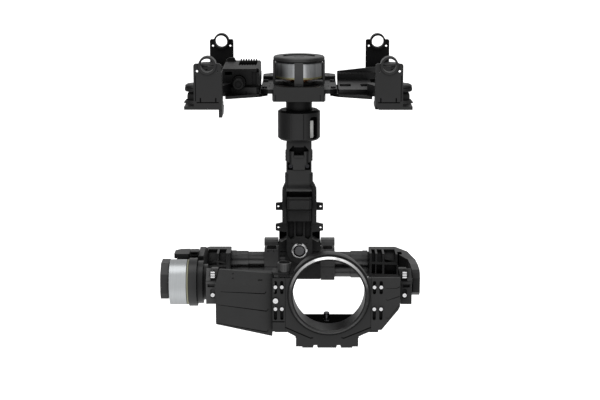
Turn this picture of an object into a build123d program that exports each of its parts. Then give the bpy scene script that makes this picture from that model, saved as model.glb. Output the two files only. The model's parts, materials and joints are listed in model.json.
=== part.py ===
from build123d import *
import os

# Three-axis camera gimbal, millimetres. The origin is on the pan axis at the height of the two
# carrying rods; +Z is up, -Y is the lens side and +X is the right side seen from the lens side.

# Driving dimensions
RAIL_X = 82.5            # carrying rods, either side of the pan axis
RAIL_Y = 113.0           # rail bracket plates, front and rear of the pan axis
ROD_BORE_R = 6.25        # bore for a 12 mm rod
DAMPER_X = 94.0          # isolator balls
DAMPER_Y = 85.0
ROLL_Z = -222.0          # roll axis, along Y
TILT_Z = -233.3          # tilt axis, along X, and the lens axis height
LENS_X = 29.6            # lens axis
LENS_BORE_R = 35.5       # lens ring bore
CAMERA_FLOOR_Z = -279.0  # face that carries the camera
TUBE_Y = 105.0           # beam tubes of the roll frame
UPPER_TUBE_Z = -235.4
UPPER_TUBE_R = 7.4
LOWER_TUBE_Z = -249.5
LOWER_TUBE_R = 6.4
EAR_X = 22.5             # accessory holes beside the arm
EAR_TOP_Z = -173.4
EAR_LOW_Z = -196.4
ACCESSORY_R = 1.6        # clearance for M3
SHAFT_R = 5.0
RUNNING_GAP = 0.05       # shafts in their bearings
BODY_GAP = 0.3           # pieces that move past each other

CUT = Mode.SUBTRACT
LEFT, RIGHT = -1, 1
FRONT, REAR = -1, 1

os.makedirs("parts", exist_ok=True)


def sight(view, span):
    """Sketch plane square to an axis, from which a positive extrusion fills the span."""
    if view == "x":
        return Plane.YZ.offset(min(span))
    if view == "y":
        return Plane.XZ.offset(-max(span))
    return Plane.XY.offset(min(span))


def depth(span):
    return max(span) - min(span)


def slab(view, outline, span, corner=0, mode=Mode.ADD):
    """Closed outline seen along an axis and filled over a span of that axis.

    Outlines are (y, z) seen along x, (x, z) seen along y and (x, y) seen along z.
    """
    with BuildSketch(sight(view, span)) as face:
        with BuildLine():
            if corner:
                FilletPolyline(*outline, radius=corner, close=True)
            else:
                Polyline(*outline, close=True)
        make_face()
    extrude(face.sketch, amount=depth(span), mode=mode)


def block(x, y, z, mode=Mode.ADD):
    """Straight block between two limits on each axis."""
    with BuildSketch(Plane.XY.offset(min(z))) as base:
        with Locations((sum(x) / 2, sum(y) / 2)):
            Rectangle(depth(x), depth(y))
    extrude(base.sketch, amount=depth(z), mode=mode)


def drum(view, centre, radius, span, bore=0, mode=Mode.ADD):
    """Round piece along an axis, with or without a bore."""
    with BuildSketch(sight(view, span)) as face:
        with Locations(centre):
            Circle(radius)
            if bore:
                Circle(bore, mode=CUT)
    extrude(face.sketch, amount=depth(span), mode=mode)


def turned(centre, profile, mode=Mode.ADD):
    """Profile of (radius, z) points turned about a vertical axis."""
    axis_x, axis_y = centre
    with BuildSketch(Plane.XZ.offset(-axis_y)) as half:
        with BuildLine():
            Polyline(*[(axis_x + radius, z) for radius, z in profile], close=True)
        make_face()
    revolve(half.sketch, axis=Axis((axis_x, axis_y, 0), (0, 0, 1)), mode=mode)


def slot(view, centre, size, span, mode=CUT):
    """Upright slot with round ends; size is (width, overall height)."""
    width, height = size
    with BuildSketch(sight(view, span)) as face:
        with Locations(centre):
            SlotOverall(height, width, rotation=90)
    extrude(face.sketch, amount=depth(span), mode=mode)


def mirrored(side, points):
    """The same outline on the left or the right side."""
    return [(side * across, along) for across, along in points]


def write(piece, name):
    piece.part.label = name
    export_step(piece.part, f"parts/{name}.step")


# Rail mounts: four brackets clamp the rods, each with a foot plate that carries one isolator ball.
PLATE_HALF = 12.5
PLATE_FACE = RAIL_Y + 1.5
PLATE_BACK = RAIL_Y - 1.5
PLATE_TOP = 1.7
FOOT = (-40.3, -37.4)
FOOT_OUT = 104.0
RING_R = 8.1
RING_SPAN = (RAIL_Y - 9.0, RAIL_Y + 2.6)
PIN_HOLE_X = 9.2
PIN_HOLE_Z = -5.2
PIN_HOLE_R = 1.1
GROOVE = 0.6
BALL_NECK_R = 3.9
LUG = (-26.7, -20.0)


def rail_bracket(side, end):
    """One rail bracket, handed by its side and its end of the deck."""
    inner, outer = side * (RAIL_X - PLATE_HALF), side * (RAIL_X + PLATE_HALF)
    plate = (end * PLATE_BACK, end * PLATE_FACE)
    with BuildPart() as bracket:
        shape = [(inner, FOOT[0]), (inner, PLATE_TOP), (outer, PLATE_TOP), (outer, FOOT[0])]
        slab("y", shape, plate, corner=[0.4, 2.0, 2.0, 0.4])
        foot = [(RAIL_X - PLATE_HALF, end * PLATE_FACE), (FOOT_OUT, end * PLATE_FACE),
                (FOOT_OUT, end * 70.0), (99.0, end * 63.0), (RAIL_X, end * 63.0),
                (RAIL_X - PLATE_HALF, end * 78.0)]
        slab("z", mirrored(side, foot), FOOT, corner=1.2)
        turned((side * DAMPER_X, end * DAMPER_Y),
               [(9.9, FOOT[1]), (12.6, FOOT[1]), (10.4, -34.6), (9.9, -34.6)])
        web_top = -8.0 if end == FRONT else -28.0
        web = [(end * 88.0, FOOT[1]), (end * PLATE_BACK, FOOT[1]), (end * PLATE_BACK, web_top),
               (end * 106.0, web_top - 4.0)]
        slab("x", web, (inner, inner + side * 2.4), corner=1.0)
        drum("y", (side * RAIL_X, 0), RING_R, (end * RING_SPAN[0], end * RING_SPAN[1]))
        drum("y", (side * RAIL_X, 0), ROD_BORE_R, (end * RAIL_Y - 20, end * RAIL_Y + 20), mode=CUT)
        for offset in (-PIN_HOLE_X, PIN_HOLE_X):
            drum("y", (side * RAIL_X + offset, PIN_HOLE_Z), PIN_HOLE_R, plate, mode=CUT)
        drum("z", (side * DAMPER_X, end * DAMPER_Y), BALL_NECK_R + RUNNING_GAP, FOOT, mode=CUT)
        # Pressed outline on the outer face, with two short relief slots at its foot.
        skin = (end * (PLATE_FACE - 0.9), end * PLATE_FACE)
        deep = (end * (PLATE_FACE - 2.2), end * PLATE_FACE)
        block((outer - side * 1.4, outer - side * 2.1), skin, (-32.6, -9.0), mode=CUT)
        block((outer - side * 2.6, inner + side * 2.2), deep, (-34.2, -33.2), mode=CUT)
        for offset in (6.4, -7.6):
            edge = side * (RAIL_X + offset)
            block((edge - GROOVE, edge + GROOVE), deep, (-33.6, -29.4), mode=CUT)
        if (side, end) == (LEFT, FRONT):
            # Guard cheek that hangs below the foot on the inner edge.
            cheek = [(-PLATE_FACE, -47.6), (-PLATE_FACE, FOOT[0]), (-80.0, FOOT[0]),
                     (-84.0, -45.0), (-88.0, -47.6)]
            slab("x", cheek, (inner - 2.4, inner + 0.6), corner=0.8)
            block((inner, inner + 0.6), (-PLATE_FACE, -95.0), (FOOT[0], -6.0))
        if (side, end) == (RIGHT, FRONT):
            corner = [(inner, FOOT[0]), (inner + 3.2, FOOT[0]), (inner, FOOT[0] + 4.0)]
            slab("y", corner, (-PLATE_FACE, -PLATE_BACK), mode=CUT)
    return bracket


for end, end_name in ((FRONT, "front"), (REAR, "rear")):
    for side, side_name in ((LEFT, "left"), (RIGHT, "right")):
        write(rail_bracket(side, end), f"rail_bracket_{end_name}_{side_name}")

BALL_R = 9.5
BALL_Z = (FOOT[1] + LUG[0]) / 2
BALL_FLAT_R = (BALL_R ** 2 - (LUG[0] - BALL_Z) ** 2) ** 0.5

with BuildPart() as dampers:
    for side in (LEFT, RIGHT):
        for end in (FRONT, REAR):
            ball_x, ball_y = side * DAMPER_X, end * DAMPER_Y
            with BuildSketch(Plane.XZ.offset(-ball_y)) as half:
                with BuildLine():
                    Polyline((ball_x + BALL_FLAT_R, FOOT[1]), (ball_x + BALL_NECK_R, FOOT[1]),
                             (ball_x + BALL_NECK_R, FOOT[0]), (ball_x + 5.6, FOOT[0]),
                             (ball_x + 5.0, FOOT[0] - 1.6), (ball_x, FOOT[0] - 1.6),
                             (ball_x, LUG[0] + 3.5), (ball_x + BALL_NECK_R, LUG[0] + 3.5),
                             (ball_x + BALL_NECK_R, LUG[0] - 0.1),
                             (ball_x + BALL_FLAT_R, LUG[0] - 0.1))
                    ThreePointArc((ball_x + BALL_FLAT_R, LUG[0] - 0.1), (ball_x + BALL_R, BALL_Z),
                                  (ball_x + BALL_FLAT_R, FOOT[1]))
                make_face()
            revolve(half.sketch, axis=Axis((ball_x, ball_y, 0), (0, 0, 1)))
write(dampers, "dampers")

# Deck: a centre plate and two wings whose arms end in lugs over the isolator balls.
DECK = (-37.8, -33.5)
DECK_HALF = 37.0
DECK_FRONT = -25.0
DECK_STEP_Y = 52.0
DECK_REAR = 80.0
REAR_TOP = -30.0
TONGUE = (-40.6, DECK[0])
MOTOR_HALF = 24.5
MOTOR_FRONT, MOTOR_REAR = -32.0, 27.0
DECK_SCREW_X = 33.6
DECK_SCREW_Y = (-12.0, 38.0)
ACCESSORY_X = 30.0
ACCESSORY_Y = (60.0, 74.0)

with BuildPart() as deck_plate:
    floor = [(-DECK_HALF, -20.0), (-30.0, DECK_FRONT), (30.0, DECK_FRONT), (DECK_HALF, -20.0),
             (DECK_HALF, DECK_STEP_Y + 3.0), (-DECK_HALF, DECK_STEP_Y + 3.0)]
    slab("z", floor, DECK, corner=0.8)
    block((-DECK_HALF, DECK_HALF), (DECK_STEP_Y, DECK_STEP_Y + 3.0), (DECK[0], REAR_TOP))
    rear = [(-DECK_HALF, DECK_STEP_Y), (DECK_HALF, DECK_STEP_Y), (DECK_HALF, 72.0),
            (28.0, DECK_REAR), (-28.0, DECK_REAR), (-DECK_HALF, 72.0)]
    slab("z", rear, (REAR_TOP - 3.4, REAR_TOP), corner=1.0)
    block((-MOTOR_HALF - 0.1, MOTOR_HALF + 0.1), (MOTOR_FRONT, MOTOR_REAR + 0.1), DECK, mode=CUT)
    for side in (LEFT, RIGHT):
        for y in DECK_SCREW_Y:
            drum("z", (side * DECK_SCREW_X, y), 1.3, DECK, mode=CUT)
        for y in ACCESSORY_Y:
            drum("z", (side * ACCESSORY_X, y), ACCESSORY_R, (REAR_TOP - 4.0, REAR_TOP), mode=CUT)
        for y in (-2.0, 4.0, 20.0):
            drum("z", (side * 29.0, y), 0.8, (DECK[1] - 1.0, DECK[1]), mode=CUT)
write(deck_plate, "deck_plate")

WING_IN = 38.6
WING_OUT = 72.0
WALL_Y = (50.0, 53.0)
FLOOR_SLOTS = ((40.5, 51.4), (61.0, 67.6))
FLOOR_SLOT_Y = (-1.6, 16.8)
PLUG_X, PLUG_Z = -57.9, -26.4
LIP_X = (-70.5, -41.0)
LIP_FRONT = -28.4
LIP_Z = (-38.4, -31.2)


def wing(side):
    """One wing: floor, rear wall, lower tongue under the centre plate and two isolator arms."""
    with BuildPart() as piece:
        floor = [(WING_IN, DECK_FRONT), (WING_OUT, DECK_FRONT), (WING_OUT, WALL_Y[1]),
                 (WING_IN, WALL_Y[1])]
        slab("z", mirrored(side, floor), (TONGUE[1], DECK[1]), corner=0.8)
        tongue = [(30.5, -18.0), (WING_IN, -28.0), (70.5, -44.0), (70.5, 45.0), (30.5, 45.0)]
        slab("z", mirrored(side, tongue), TONGUE, corner=1.0)
        rear_arm = [(WING_IN, WALL_Y[0]), (66.0, WALL_Y[0]), (102.0, 76.0), (102.0, 92.0),
                    (86.0, 93.0), (WING_IN, 60.0)]
        slab("z", mirrored(side, rear_arm), (DECK[1], LUG[0]), corner=1.0)
        front_arm = [(66.0, DECK_FRONT), (WING_OUT, DECK_FRONT), (WING_OUT + 4.0, -30.0),
                     (102.0, -74.0), (102.0, -92.0), (86.0, -93.0), (71.0, -46.0), (66.0, -32.0)]
        slab("z", mirrored(side, front_arm), (DECK[1], LUG[0]), corner=[0, 0, 1, 1, 1, 1, 1, 1])
        hip = [(66.0, DECK_FRONT), (WING_OUT, DECK_FRONT), (78.0, -34.0), (71.0, -44.0), (66.0, -32.0)]
        slab("z", mirrored(side, hip), (TONGUE[1], DECK[1]))
        rise = [(WING_IN, -26.9), (94.0, -26.9), (94.0, -20.4), (74.0, -21.4), (WING_IN, -25.4)]
        slab("y", mirrored(side, rise), (57.0, 60.0), corner=0.6)
        for end in (FRONT, REAR):
            turned((side * DAMPER_X, end * DAMPER_Y),
                   [(0, LUG[0]), (10.9, LUG[0]), (11.4, -25.6), (11.4, -23.4), (10.6, -23.0),
                    (11.2, -22.6), (10.8, -21.0), (9.0, LUG[1]), (0, LUG[1])])
            neck = (side * DAMPER_X, end * DAMPER_Y)
            drum("z", neck, BALL_NECK_R + RUNNING_GAP, (LUG[0] - 0.4, LUG[0] + 3.8), mode=CUT)
            drum("z", neck, 12.8, (TONGUE[1] - 1.0, LUG[0]), mode=CUT)
            link = (side * (DAMPER_X - 6.0), side * (DAMPER_X - 13.5))
            block(link, (end * 72.0, end * 82.0), (LUG[0], -21.6))
        for low, high in FLOOR_SLOTS:
            with BuildSketch(Plane.XY.offset(TONGUE[0])) as opening:
                with Locations((side * (low + high) / 2, sum(FLOOR_SLOT_Y) / 2)):
                    RectangleRounded(high - low, depth(FLOOR_SLOT_Y), 1.5)
            extrude(opening.sketch, amount=DECK[1] - TONGUE[0], mode=CUT)
        for y in DECK_SCREW_Y:
            drum("z", (side * DECK_SCREW_X, y), 1.3, TONGUE, mode=CUT)
        if side == LEFT:
            # Lip below the front of the control box, notched for the plug and once for drainage.
            block(LIP_X, (LIP_FRONT, DECK_FRONT), LIP_Z)
            drum("y", (PLUG_X, PLUG_Z), 6.9, (LIP_FRONT - 1, DECK_FRONT), mode=CUT)
            block((-51.4, -50.6), (LIP_FRONT, LIP_FRONT + 1.2), (LIP_Z[0], -34.8), mode=CUT)
    return piece


write(wing(LEFT), "wing_left")
write(wing(RIGHT), "wing_right")

with BuildPart() as deck_screws:
    for side in (LEFT, RIGHT):
        for y in DECK_SCREW_Y:
            drum("z", (side * DECK_SCREW_X, y), 2.4, (DECK[1], DECK[1] + 1.5))
            drum("z", (side * DECK_SCREW_X, y), 1.1, (DECK[1] + 0.7, DECK[1] + 1.5), mode=CUT)
            drum("z", (side * DECK_SCREW_X, y), 1.25, (TONGUE[0], DECK[1]))
write(deck_screws, "deck_screws")

# Control box on the left wing: base, circuit board, grilled cover and a round plug in front.
BOX_X = (-75.0, -WING_IN)
BOX_Y = (-24.6, 49.6)
BOX_Z = (DECK[1], -13.6)
BASE_TOP = -30.6
PLUG_R = 4.8

with BuildPart() as control_box_base:
    shape = [(BOX_X[0], BOX_Y[0]), (BOX_X[1], BOX_Y[0]), (BOX_X[1], BOX_Y[1]), (BOX_X[0], BOX_Y[1])]
    slab("z", shape, (BOX_Z[0], BASE_TOP), corner=1.5)
    block(BOX_X, (BOX_Y[0], BOX_Y[0] + 1.6), (LIP_Z[1], BASE_TOP), mode=CUT)
    for x in (BOX_X[0] + 5, BOX_X[1] - 5):
        for y in (BOX_Y[0] + 6, BOX_Y[1] - 6):
            drum("z", (x, y), 2.0, (BASE_TOP, BASE_TOP + 2.0))
    drum("y", (PLUG_X, PLUG_Z), 6.9, (BOX_Y[0] - 5, BOX_Y[0] + 9), mode=CUT)
write(control_box_base, "control_box_base")

with BuildPart() as control_board:
    block((BOX_X[0] + 3, BOX_X[1] - 3), (BOX_Y[0] + 10, BOX_Y[1] - 3), (BASE_TOP + 2.0, BASE_TOP + 3.6))
    block((-66.0, -52.0), (0.0, 14.0), (BASE_TOP + 3.6, BASE_TOP + 5.6))
    block((-48.0, -44.0), (-4.0, 30.0), (BASE_TOP + 3.6, BASE_TOP + 8.0))
write(control_board, "control_board")

GRILL_X = (-60.0, -42.0)
GRILL_Y = (11.0, 41.5)
GRILL_TEETH = 7

with BuildPart() as control_box_cover:
    front = [(BOX_X[0], BASE_TOP), (BOX_X[1], BASE_TOP), (BOX_X[1], BOX_Z[1]), (BOX_X[0], BOX_Z[1])]
    slab("y", front, BOX_Y, corner=[0.3, 0.3, 2.2, 2.2])
    block((BOX_X[0] + 2, BOX_X[1] - 2), (BOX_Y[0] + 2, BOX_Y[1] - 2), (BASE_TOP, BOX_Z[1] - 2.4), mode=CUT)
    # Vent in the roof, with a row of upright teeth behind it and short notches in front.
    block(GRILL_X, GRILL_Y, (BOX_Z[1] - 3.0, BOX_Z[1]), mode=CUT)
    pitch = depth(GRILL_X) / GRILL_TEETH
    for tooth in range(GRILL_TEETH):
        start = GRILL_X[0] + (tooth + 0.25) * pitch
        wide = (start, start + pitch / 2)
        block(wide, (GRILL_Y[1] + 0.8, BOX_Y[1] - 1.0), (BOX_Z[1], BOX_Z[1] + 1.7))
        block(wide, (GRILL_Y[0] - 5.0, GRILL_Y[0]), (BOX_Z[1] - 1.6, BOX_Z[1]), mode=CUT)
    # Front face: arched bay for the plug, a long socket and two small ones.
    drum("y", (PLUG_X, PLUG_Z), 6.9, (BOX_Y[0] - 1, BOX_Y[0] + 9), mode=CUT)
    block((-71.6, -64.6), (BOX_Y[0], BOX_Y[0] + 2.5), (-19.6, -16.4), mode=CUT)
    block((-70.6, -68.2), (BOX_Y[0], BOX_Y[0] + 1.0), (-30.2, -27.6), mode=CUT)
    block((-45.6, -41.0), (BOX_Y[0], BOX_Y[0] + 1.2), (-29.2, -16.4), mode=CUT)
    block((-41.0, BOX_X[1]), (BOX_Y[0], BOX_Y[0] + 6.0), (-17.4, BOX_Z[1]), mode=CUT)
    block(BOX_X, (BOX_Y[0], BOX_Y[0] + 1.6), (BASE_TOP, BASE_TOP + 1.6), mode=CUT)
    # Strain-relief latch standing on the rear left corner of the roof.
    block((-74.0, -64.0), (BOX_Y[1] - 10.0, BOX_Y[1] - 4.0), (BOX_Z[1], BOX_Z[1] + 1.2))
    slab("y", [(-74.0, -12.4), (-64.5, -12.4), (-65.5, -10.0), (-71.0, -10.0)],
         (BOX_Y[1] - 9.0, BOX_Y[1] - 5.0), corner=0.6)
write(control_box_cover, "control_box_cover")

with BuildPart() as control_plug:
    drum("y", (PLUG_X, PLUG_Z), PLUG_R, (-43.0, BOX_Y[0] + 4))
    drum("y", (PLUG_X, PLUG_Z), 6.3, (BOX_Y[0] - 6.5, BOX_Y[0] - 1.5))
    drum("y", (PLUG_X, PLUG_Z), 6.85, (BOX_Y[0] + 4, BOX_Y[0] + 8.9))
    drum("y", (PLUG_X, PLUG_Z), 3.4, (-43.0, -42.0), mode=CUT)
write(control_plug, "control_plug")

# Pan motor: an outrunner in a four-strut cage on a block that also holds the pan bearings.
MOTOR_Z = -30.7
CAGE_R = 25.2
CAGE_TOP = -3.5
ROTOR_Z = (-22.7, -10.0)
ROTOR_R = 23.3
STEP_Z = -37.8
BLOCK_Z = -44.7
BEARING_Z = (-43.2, -38.2)
PAN_SHAFT_R = 6.0

with BuildPart() as pan_mount_block:
    block((-MOTOR_HALF, MOTOR_HALF), (MOTOR_FRONT, MOTOR_REAR), (STEP_Z, MOTOR_Z))
    lower = [(-26.0, -22.0), (-24.5, MOTOR_FRONT), (24.5, MOTOR_FRONT), (26.0, -22.0),
             (26.0, MOTOR_REAR), (-26.0, MOTOR_REAR)]
    slab("z", lower, (BLOCK_Z, STEP_Z), corner=1.0)
    drum("z", (0, 0), PAN_SHAFT_R + 0.4, (BLOCK_Z, MOTOR_Z), mode=CUT)
    drum("z", (0, 0), 11.0, BEARING_Z, mode=CUT)
    for x in (-22.6, 20.4):
        block((x, x + GROOVE), (MOTOR_FRONT, MOTOR_FRONT + 0.6), (BLOCK_Z, STEP_Z), mode=CUT)
write(pan_mount_block, "pan_mount_block")

with BuildPart() as pan_bearings:
    drum("z", (0, 0), 11.0, BEARING_Z, bore=PAN_SHAFT_R + RUNNING_GAP)
write(pan_bearings, "pan_bearings")

with BuildPart() as pan_motor_cage:
    drum("z", (0, 0), 16.0, (MOTOR_Z, -28.2), bore=PAN_SHAFT_R + 0.4)
    turned((0, 0), [(16.0, CAGE_TOP), (24.2, CAGE_TOP), (CAGE_R, CAGE_TOP - 1.0),
                    (CAGE_R, CAGE_TOP - 3.4), (23.9, CAGE_TOP - 5.0), (16.0, CAGE_TOP - 5.0)])
    drum("z", (0, 0), 12.0, (CAGE_TOP - 5.0, CAGE_TOP - 2.6))
    drum("z", (0, 0), 16.0, (CAGE_TOP - 5.0, CAGE_TOP - 2.6), bore=12.0)
    for turn in (0, 90, 180, 270):
        strut = Plane(origin=(0, 0, 0), z_dir=(0, 0, 1)).rotated((0, 0, turn)).offset(-28.4)
        with BuildSketch(strut) as foot:
            with Locations((CAGE_R - 1.0, 0)):
                Rectangle(2.6, 8.7)
            Circle(23.7, mode=CUT)
        extrude(foot.sketch, amount=28.4 - 7.6)
        with BuildSketch(Plane.XY.offset(MOTOR_Z).rotated((0, 0, turn))) as spoke:
            with Locations((19.8, 0)):
                Rectangle(11.0, 8.7)
            Circle(15.9, mode=CUT)
        extrude(spoke.sketch, amount=2.5)
write(pan_motor_cage, "pan_motor_cage")

with BuildPart() as pan_motor_lid:
    drum("z", (0, 0), 15.9, (CAGE_TOP - 2.6, CAGE_TOP - 1.0))
    drum("z", (0, 0), 5.0, (CAGE_TOP - 1.4, CAGE_TOP - 1.0), bore=4.2, mode=CUT)
write(pan_motor_lid, "pan_motor_lid")


def stator(view, centre, post, core_r, span, base, poles=12):
    """Wound core: a bored hub on a post, with a ring of poles around it."""
    with BuildPart() as core:
        drum(view, centre, core_r * 0.62, span, bore=post)
        drum(view, centre, post + 2.0, base, bore=post)
        face = sight(view, span)
        with BuildSketch(face) as poles_face:
            with Locations(centre):
                with PolarLocations(core_r * 0.78, poles):
                    Rectangle(core_r * 0.44, core_r * 0.3)
        extrude(poles_face.sketch, amount=depth(span))
    return core


write(stator("z", (0, 0), PAN_SHAFT_R + 0.6, 20.0, (-25.4, -13.0), (-28.2, -25.4)), "pan_stator")

# Pan arm: the rotor and hollow shaft, the slip ring housing and the arm that reaches back and down.
NECK_Z = (-59.3, BLOCK_Z - BODY_GAP)
NECK_R = 12.9
HOUSING_Z = (-86.0, -56.3)
HOUSING_R = 21.0

with BuildPart() as pan_rotor:
    drum("z", (0, 0), ROTOR_R, ROTOR_Z, bore=21.0)
    drum("z", (0, 0), 22.3, (ROTOR_Z[1] - 1.4, ROTOR_Z[1] + 0.6), bore=PAN_SHAFT_R)
write(pan_rotor, "pan_rotor")

with BuildPart() as pan_seal_ring:
    drum("z", (0, 0), ROTOR_R, (ROTOR_Z[0] - 1.6, ROTOR_Z[0]), bore=21.0)
write(pan_seal_ring, "pan_seal_ring")

with BuildPart() as pan_shaft:
    drum("z", (0, 0), NECK_R, NECK_Z)
    drum("z", (0, 0), PAN_SHAFT_R, (NECK_Z[1], ROTOR_Z[1] + 0.6))
    drum("z", (0, 0), 3.2, (NECK_Z[0], ROTOR_Z[1] + 0.6), mode=CUT)
    for x in (-9.6, 10.0):
        drum("y", (x, -47.0), 0.7, (-NECK_R, 0), mode=CUT)
write(pan_shaft, "pan_shaft")

SLOT_PLANE = Plane(origin=(0, 0, 0), x_dir=(1, 1, 0), z_dir=(1, -1, 0))
SLOT_MID_Z = -73.0

with BuildPart() as slip_ring_housing:
    turned((0, 0), [(13.5, HOUSING_Z[1]), (18.6, HOUSING_Z[1]), (HOUSING_R, HOUSING_Z[1] - 1.8),
                    (HOUSING_R, HOUSING_Z[0] + 2.0), (19.0, HOUSING_Z[0]), (0, HOUSING_Z[0]),
                    (0, NECK_Z[0]), (13.5, NECK_Z[0])])
    with BuildSketch(SLOT_PLANE.offset(15.5)) as side_slot:
        with Locations((0, SLOT_MID_Z)):
            RectangleRounded(9.6, 22.4, 2.6)
    extrude(side_slot.sketch, amount=8.0, mode=CUT)
    for x in (-8.6, 4.4):
        block((x, x + GROOVE), (-HOUSING_R, -18.0), (HOUSING_Z[0] + 2.6, HOUSING_Z[1] - 2.4), mode=CUT)
        block((x, x + GROOVE), (-19.6, -14.0), (HOUSING_Z[0] + 2.6, HOUSING_Z[1] - 2.4))
write(slip_ring_housing, "slip_ring_housing")

with BuildPart() as pan_connector:
    with BuildSketch(SLOT_PLANE.offset(15.5)) as plug_face:
        with Locations((-1.4, SLOT_MID_Z - 1.4)):
            RectangleRounded(5.4, 17.0, 1.2)
    extrude(plug_face.sketch, amount=3.2)
write(pan_connector, "pan_connector")

YOKE_HALF = 12.6
YOKE_Z = (-119.0, HOUSING_Z[0])
YOKE_FRONT = -13.0
COVER_SCREWS = ((-8.2, -112.2), (8.2, -112.2))

with BuildPart() as arm_yoke:
    yoke = [(-YOKE_HALF, YOKE_Z[0]), (YOKE_HALF, YOKE_Z[0]), (YOKE_HALF, -90.0), (12.0, YOKE_Z[1]),
            (-12.0, YOKE_Z[1]), (-YOKE_HALF, -90.0)]
    slab("y", yoke, (YOKE_FRONT, 13.0))
    for z in (-98.9, -102.5, -106.0):
        block((-13.6, 13.6), (-9.0, 9.0), (z - 0.7, z + 0.7))
    block((-9.3, 9.3), (YOKE_FRONT, YOKE_FRONT + 1.6), (-115.4, -96.8), mode=CUT)
    block((-4.9, 4.9), (YOKE_FRONT, YOKE_FRONT + 9.0), (-100.2, -92.4), mode=CUT)
    for side in (LEFT, RIGHT):
        recess = [(4.9, -90.9), (5.9, -90.9), (9.6, -95.0), (9.6, -96.9), (4.9, -96.9)]
        slab("y", mirrored(side, recess), (YOKE_FRONT, YOKE_FRONT + 8.0), mode=CUT)
        screw_bay = [(5.9, -115.2), (11.4, -115.2), (11.4, -107.6), (10.4, -107.2), (5.9, -110.2)]
        slab("y", mirrored(side, screw_bay), (YOKE_FRONT, YOKE_FRONT + 6.0), mode=CUT)
    for x, z in COVER_SCREWS:
        drum("y", (x, z), 1.0, (YOKE_FRONT, YOKE_FRONT + 11.0), mode=CUT)
write(arm_yoke, "arm_yoke")

with BuildPart() as arm_cover:
    plate = [(-9.0, -115.0), (9.0, -115.0), (9.0, -96.7), (5.0, -96.7), (5.0, -101.6),
             (-5.0, -101.6), (-5.0, -96.7), (-9.0, -96.7)]
    slab("y", plate, (YOKE_FRONT - 0.8, YOKE_FRONT + 1.6))
    tongue = [(-4.8, -102.6), (4.8, -102.6), (4.8, -100.4), (-4.8, -100.4)]
    slab("y", tongue, (YOKE_FRONT - 1.6, YOKE_FRONT + 1.6))
    for side in (LEFT, RIGHT):
        block((side * 5.9, side * 9.2), (YOKE_FRONT - 1.0, YOKE_FRONT + 2.0), (-115.2, -109.9), mode=CUT)
        bevel = [(9.0, YOKE_FRONT - 0.8), (9.0, YOKE_FRONT + 0.5), (7.2, YOKE_FRONT - 0.8)]
        slab("z", mirrored(side, bevel), (-115.0, -96.7), mode=CUT)
write(arm_cover, "arm_cover")

UPPER_Z = (-186.0, YOKE_Z[0])
ARM_BACK = 96.0
FLANGE_X = (13.5, 18.2)
EAR_FACE = (84.0, 88.0)


def arm_body(half, inset):
    """Side view of the upper arm, pushed out by half on both sides; inset sets its front back."""
    with BuildSketch(Plane.YZ.offset(-half)) as side_view:
        with BuildLine():
            Polyline((YOKE_FRONT + inset, -127.0), (YOKE_FRONT + inset, UPPER_Z[1]),
                     (13.0, UPPER_Z[1]), (13.5, -124.0), (34.0, -131.0), (74.0, -139.0),
                     (ARM_BACK, -145.0), (ARM_BACK, UPPER_Z[0]), (70.0 + inset, UPPER_Z[0]),
                     (70.0 + inset, -174.5), (60.0 + inset, -171.0), (60.0 + inset, -158.0),
                     (80.0 + inset, -166.0), (80.0 + inset, -150.0), (26.0 + inset, -143.4),
                     (3.0 + inset, -140.2))
            ThreePointArc((3.0 + inset, -140.2), (-8.0 + inset, -135.6), (YOKE_FRONT + inset, -127.0))
        make_face()
    extrude(side_view.sketch, amount=2 * half)


with BuildPart() as arm_upper:
    arm_body(YOKE_HALF, 1.2)
    arm_body(10.6, 0.0)
    drum("x", (-4.0, -125.8), 6.6, (-13.9, 13.9))
    block((-FLANGE_X[1], FLANGE_X[1]), (84.0, ARM_BACK), (-189.0, -154.0))
    block((-14.0, 14.0), (70.0, ARM_BACK), (-189.0, UPPER_Z[0]), mode=CUT)
    for side in (LEFT, RIGHT):
        flange = [(FLANGE_X[0], -189.0), (FLANGE_X[1], -189.0), (FLANGE_X[1], -153.5),
                  (16.9, -149.7), (FLANGE_X[0], -143.5)]
        slab("y", mirrored(side, flange), (72.0, 84.0), corner=0.8)
        ear = [(FLANGE_X[1] - 1.0, EAR_TOP_Z - 3.8), (EAR_X + 2.8, EAR_TOP_Z - 3.8),
               (EAR_X + 2.8, EAR_TOP_Z + 3.8), (FLANGE_X[1] - 1.0, EAR_TOP_Z + 4.6)]
        slab("y", mirrored(side, ear), EAR_FACE, corner=0.9)
        drum("y", (side * EAR_X, EAR_TOP_Z), 1.2, EAR_FACE, mode=CUT)
        # A web closes the gap between the flange's shoulder and the arm.
        web = (side * (YOKE_HALF - 0.6), side * (FLANGE_X[0] + 0.5))
        block(web, (81.5, EAR_FACE[0]), (-156.0, -146.0))
    block((-13.0, 13.0), (59.0, 62.0), (-161.4, -160.6), mode=CUT)
write(arm_upper, "arm_upper")

SPINE_HALF = 13.8
SPINE_Y = (85.0, 96.0)
HUB_Y = (97.0, 117.0)
BASE_Y = (118.5, 124.0)
BOSS_R = 13.4
BEZEL_R, BEZEL_BORE_R = 8.6, 6.6
BEZEL_Y = (83.8, 87.4)
CHANNEL_FLOOR = 88.4

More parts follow.
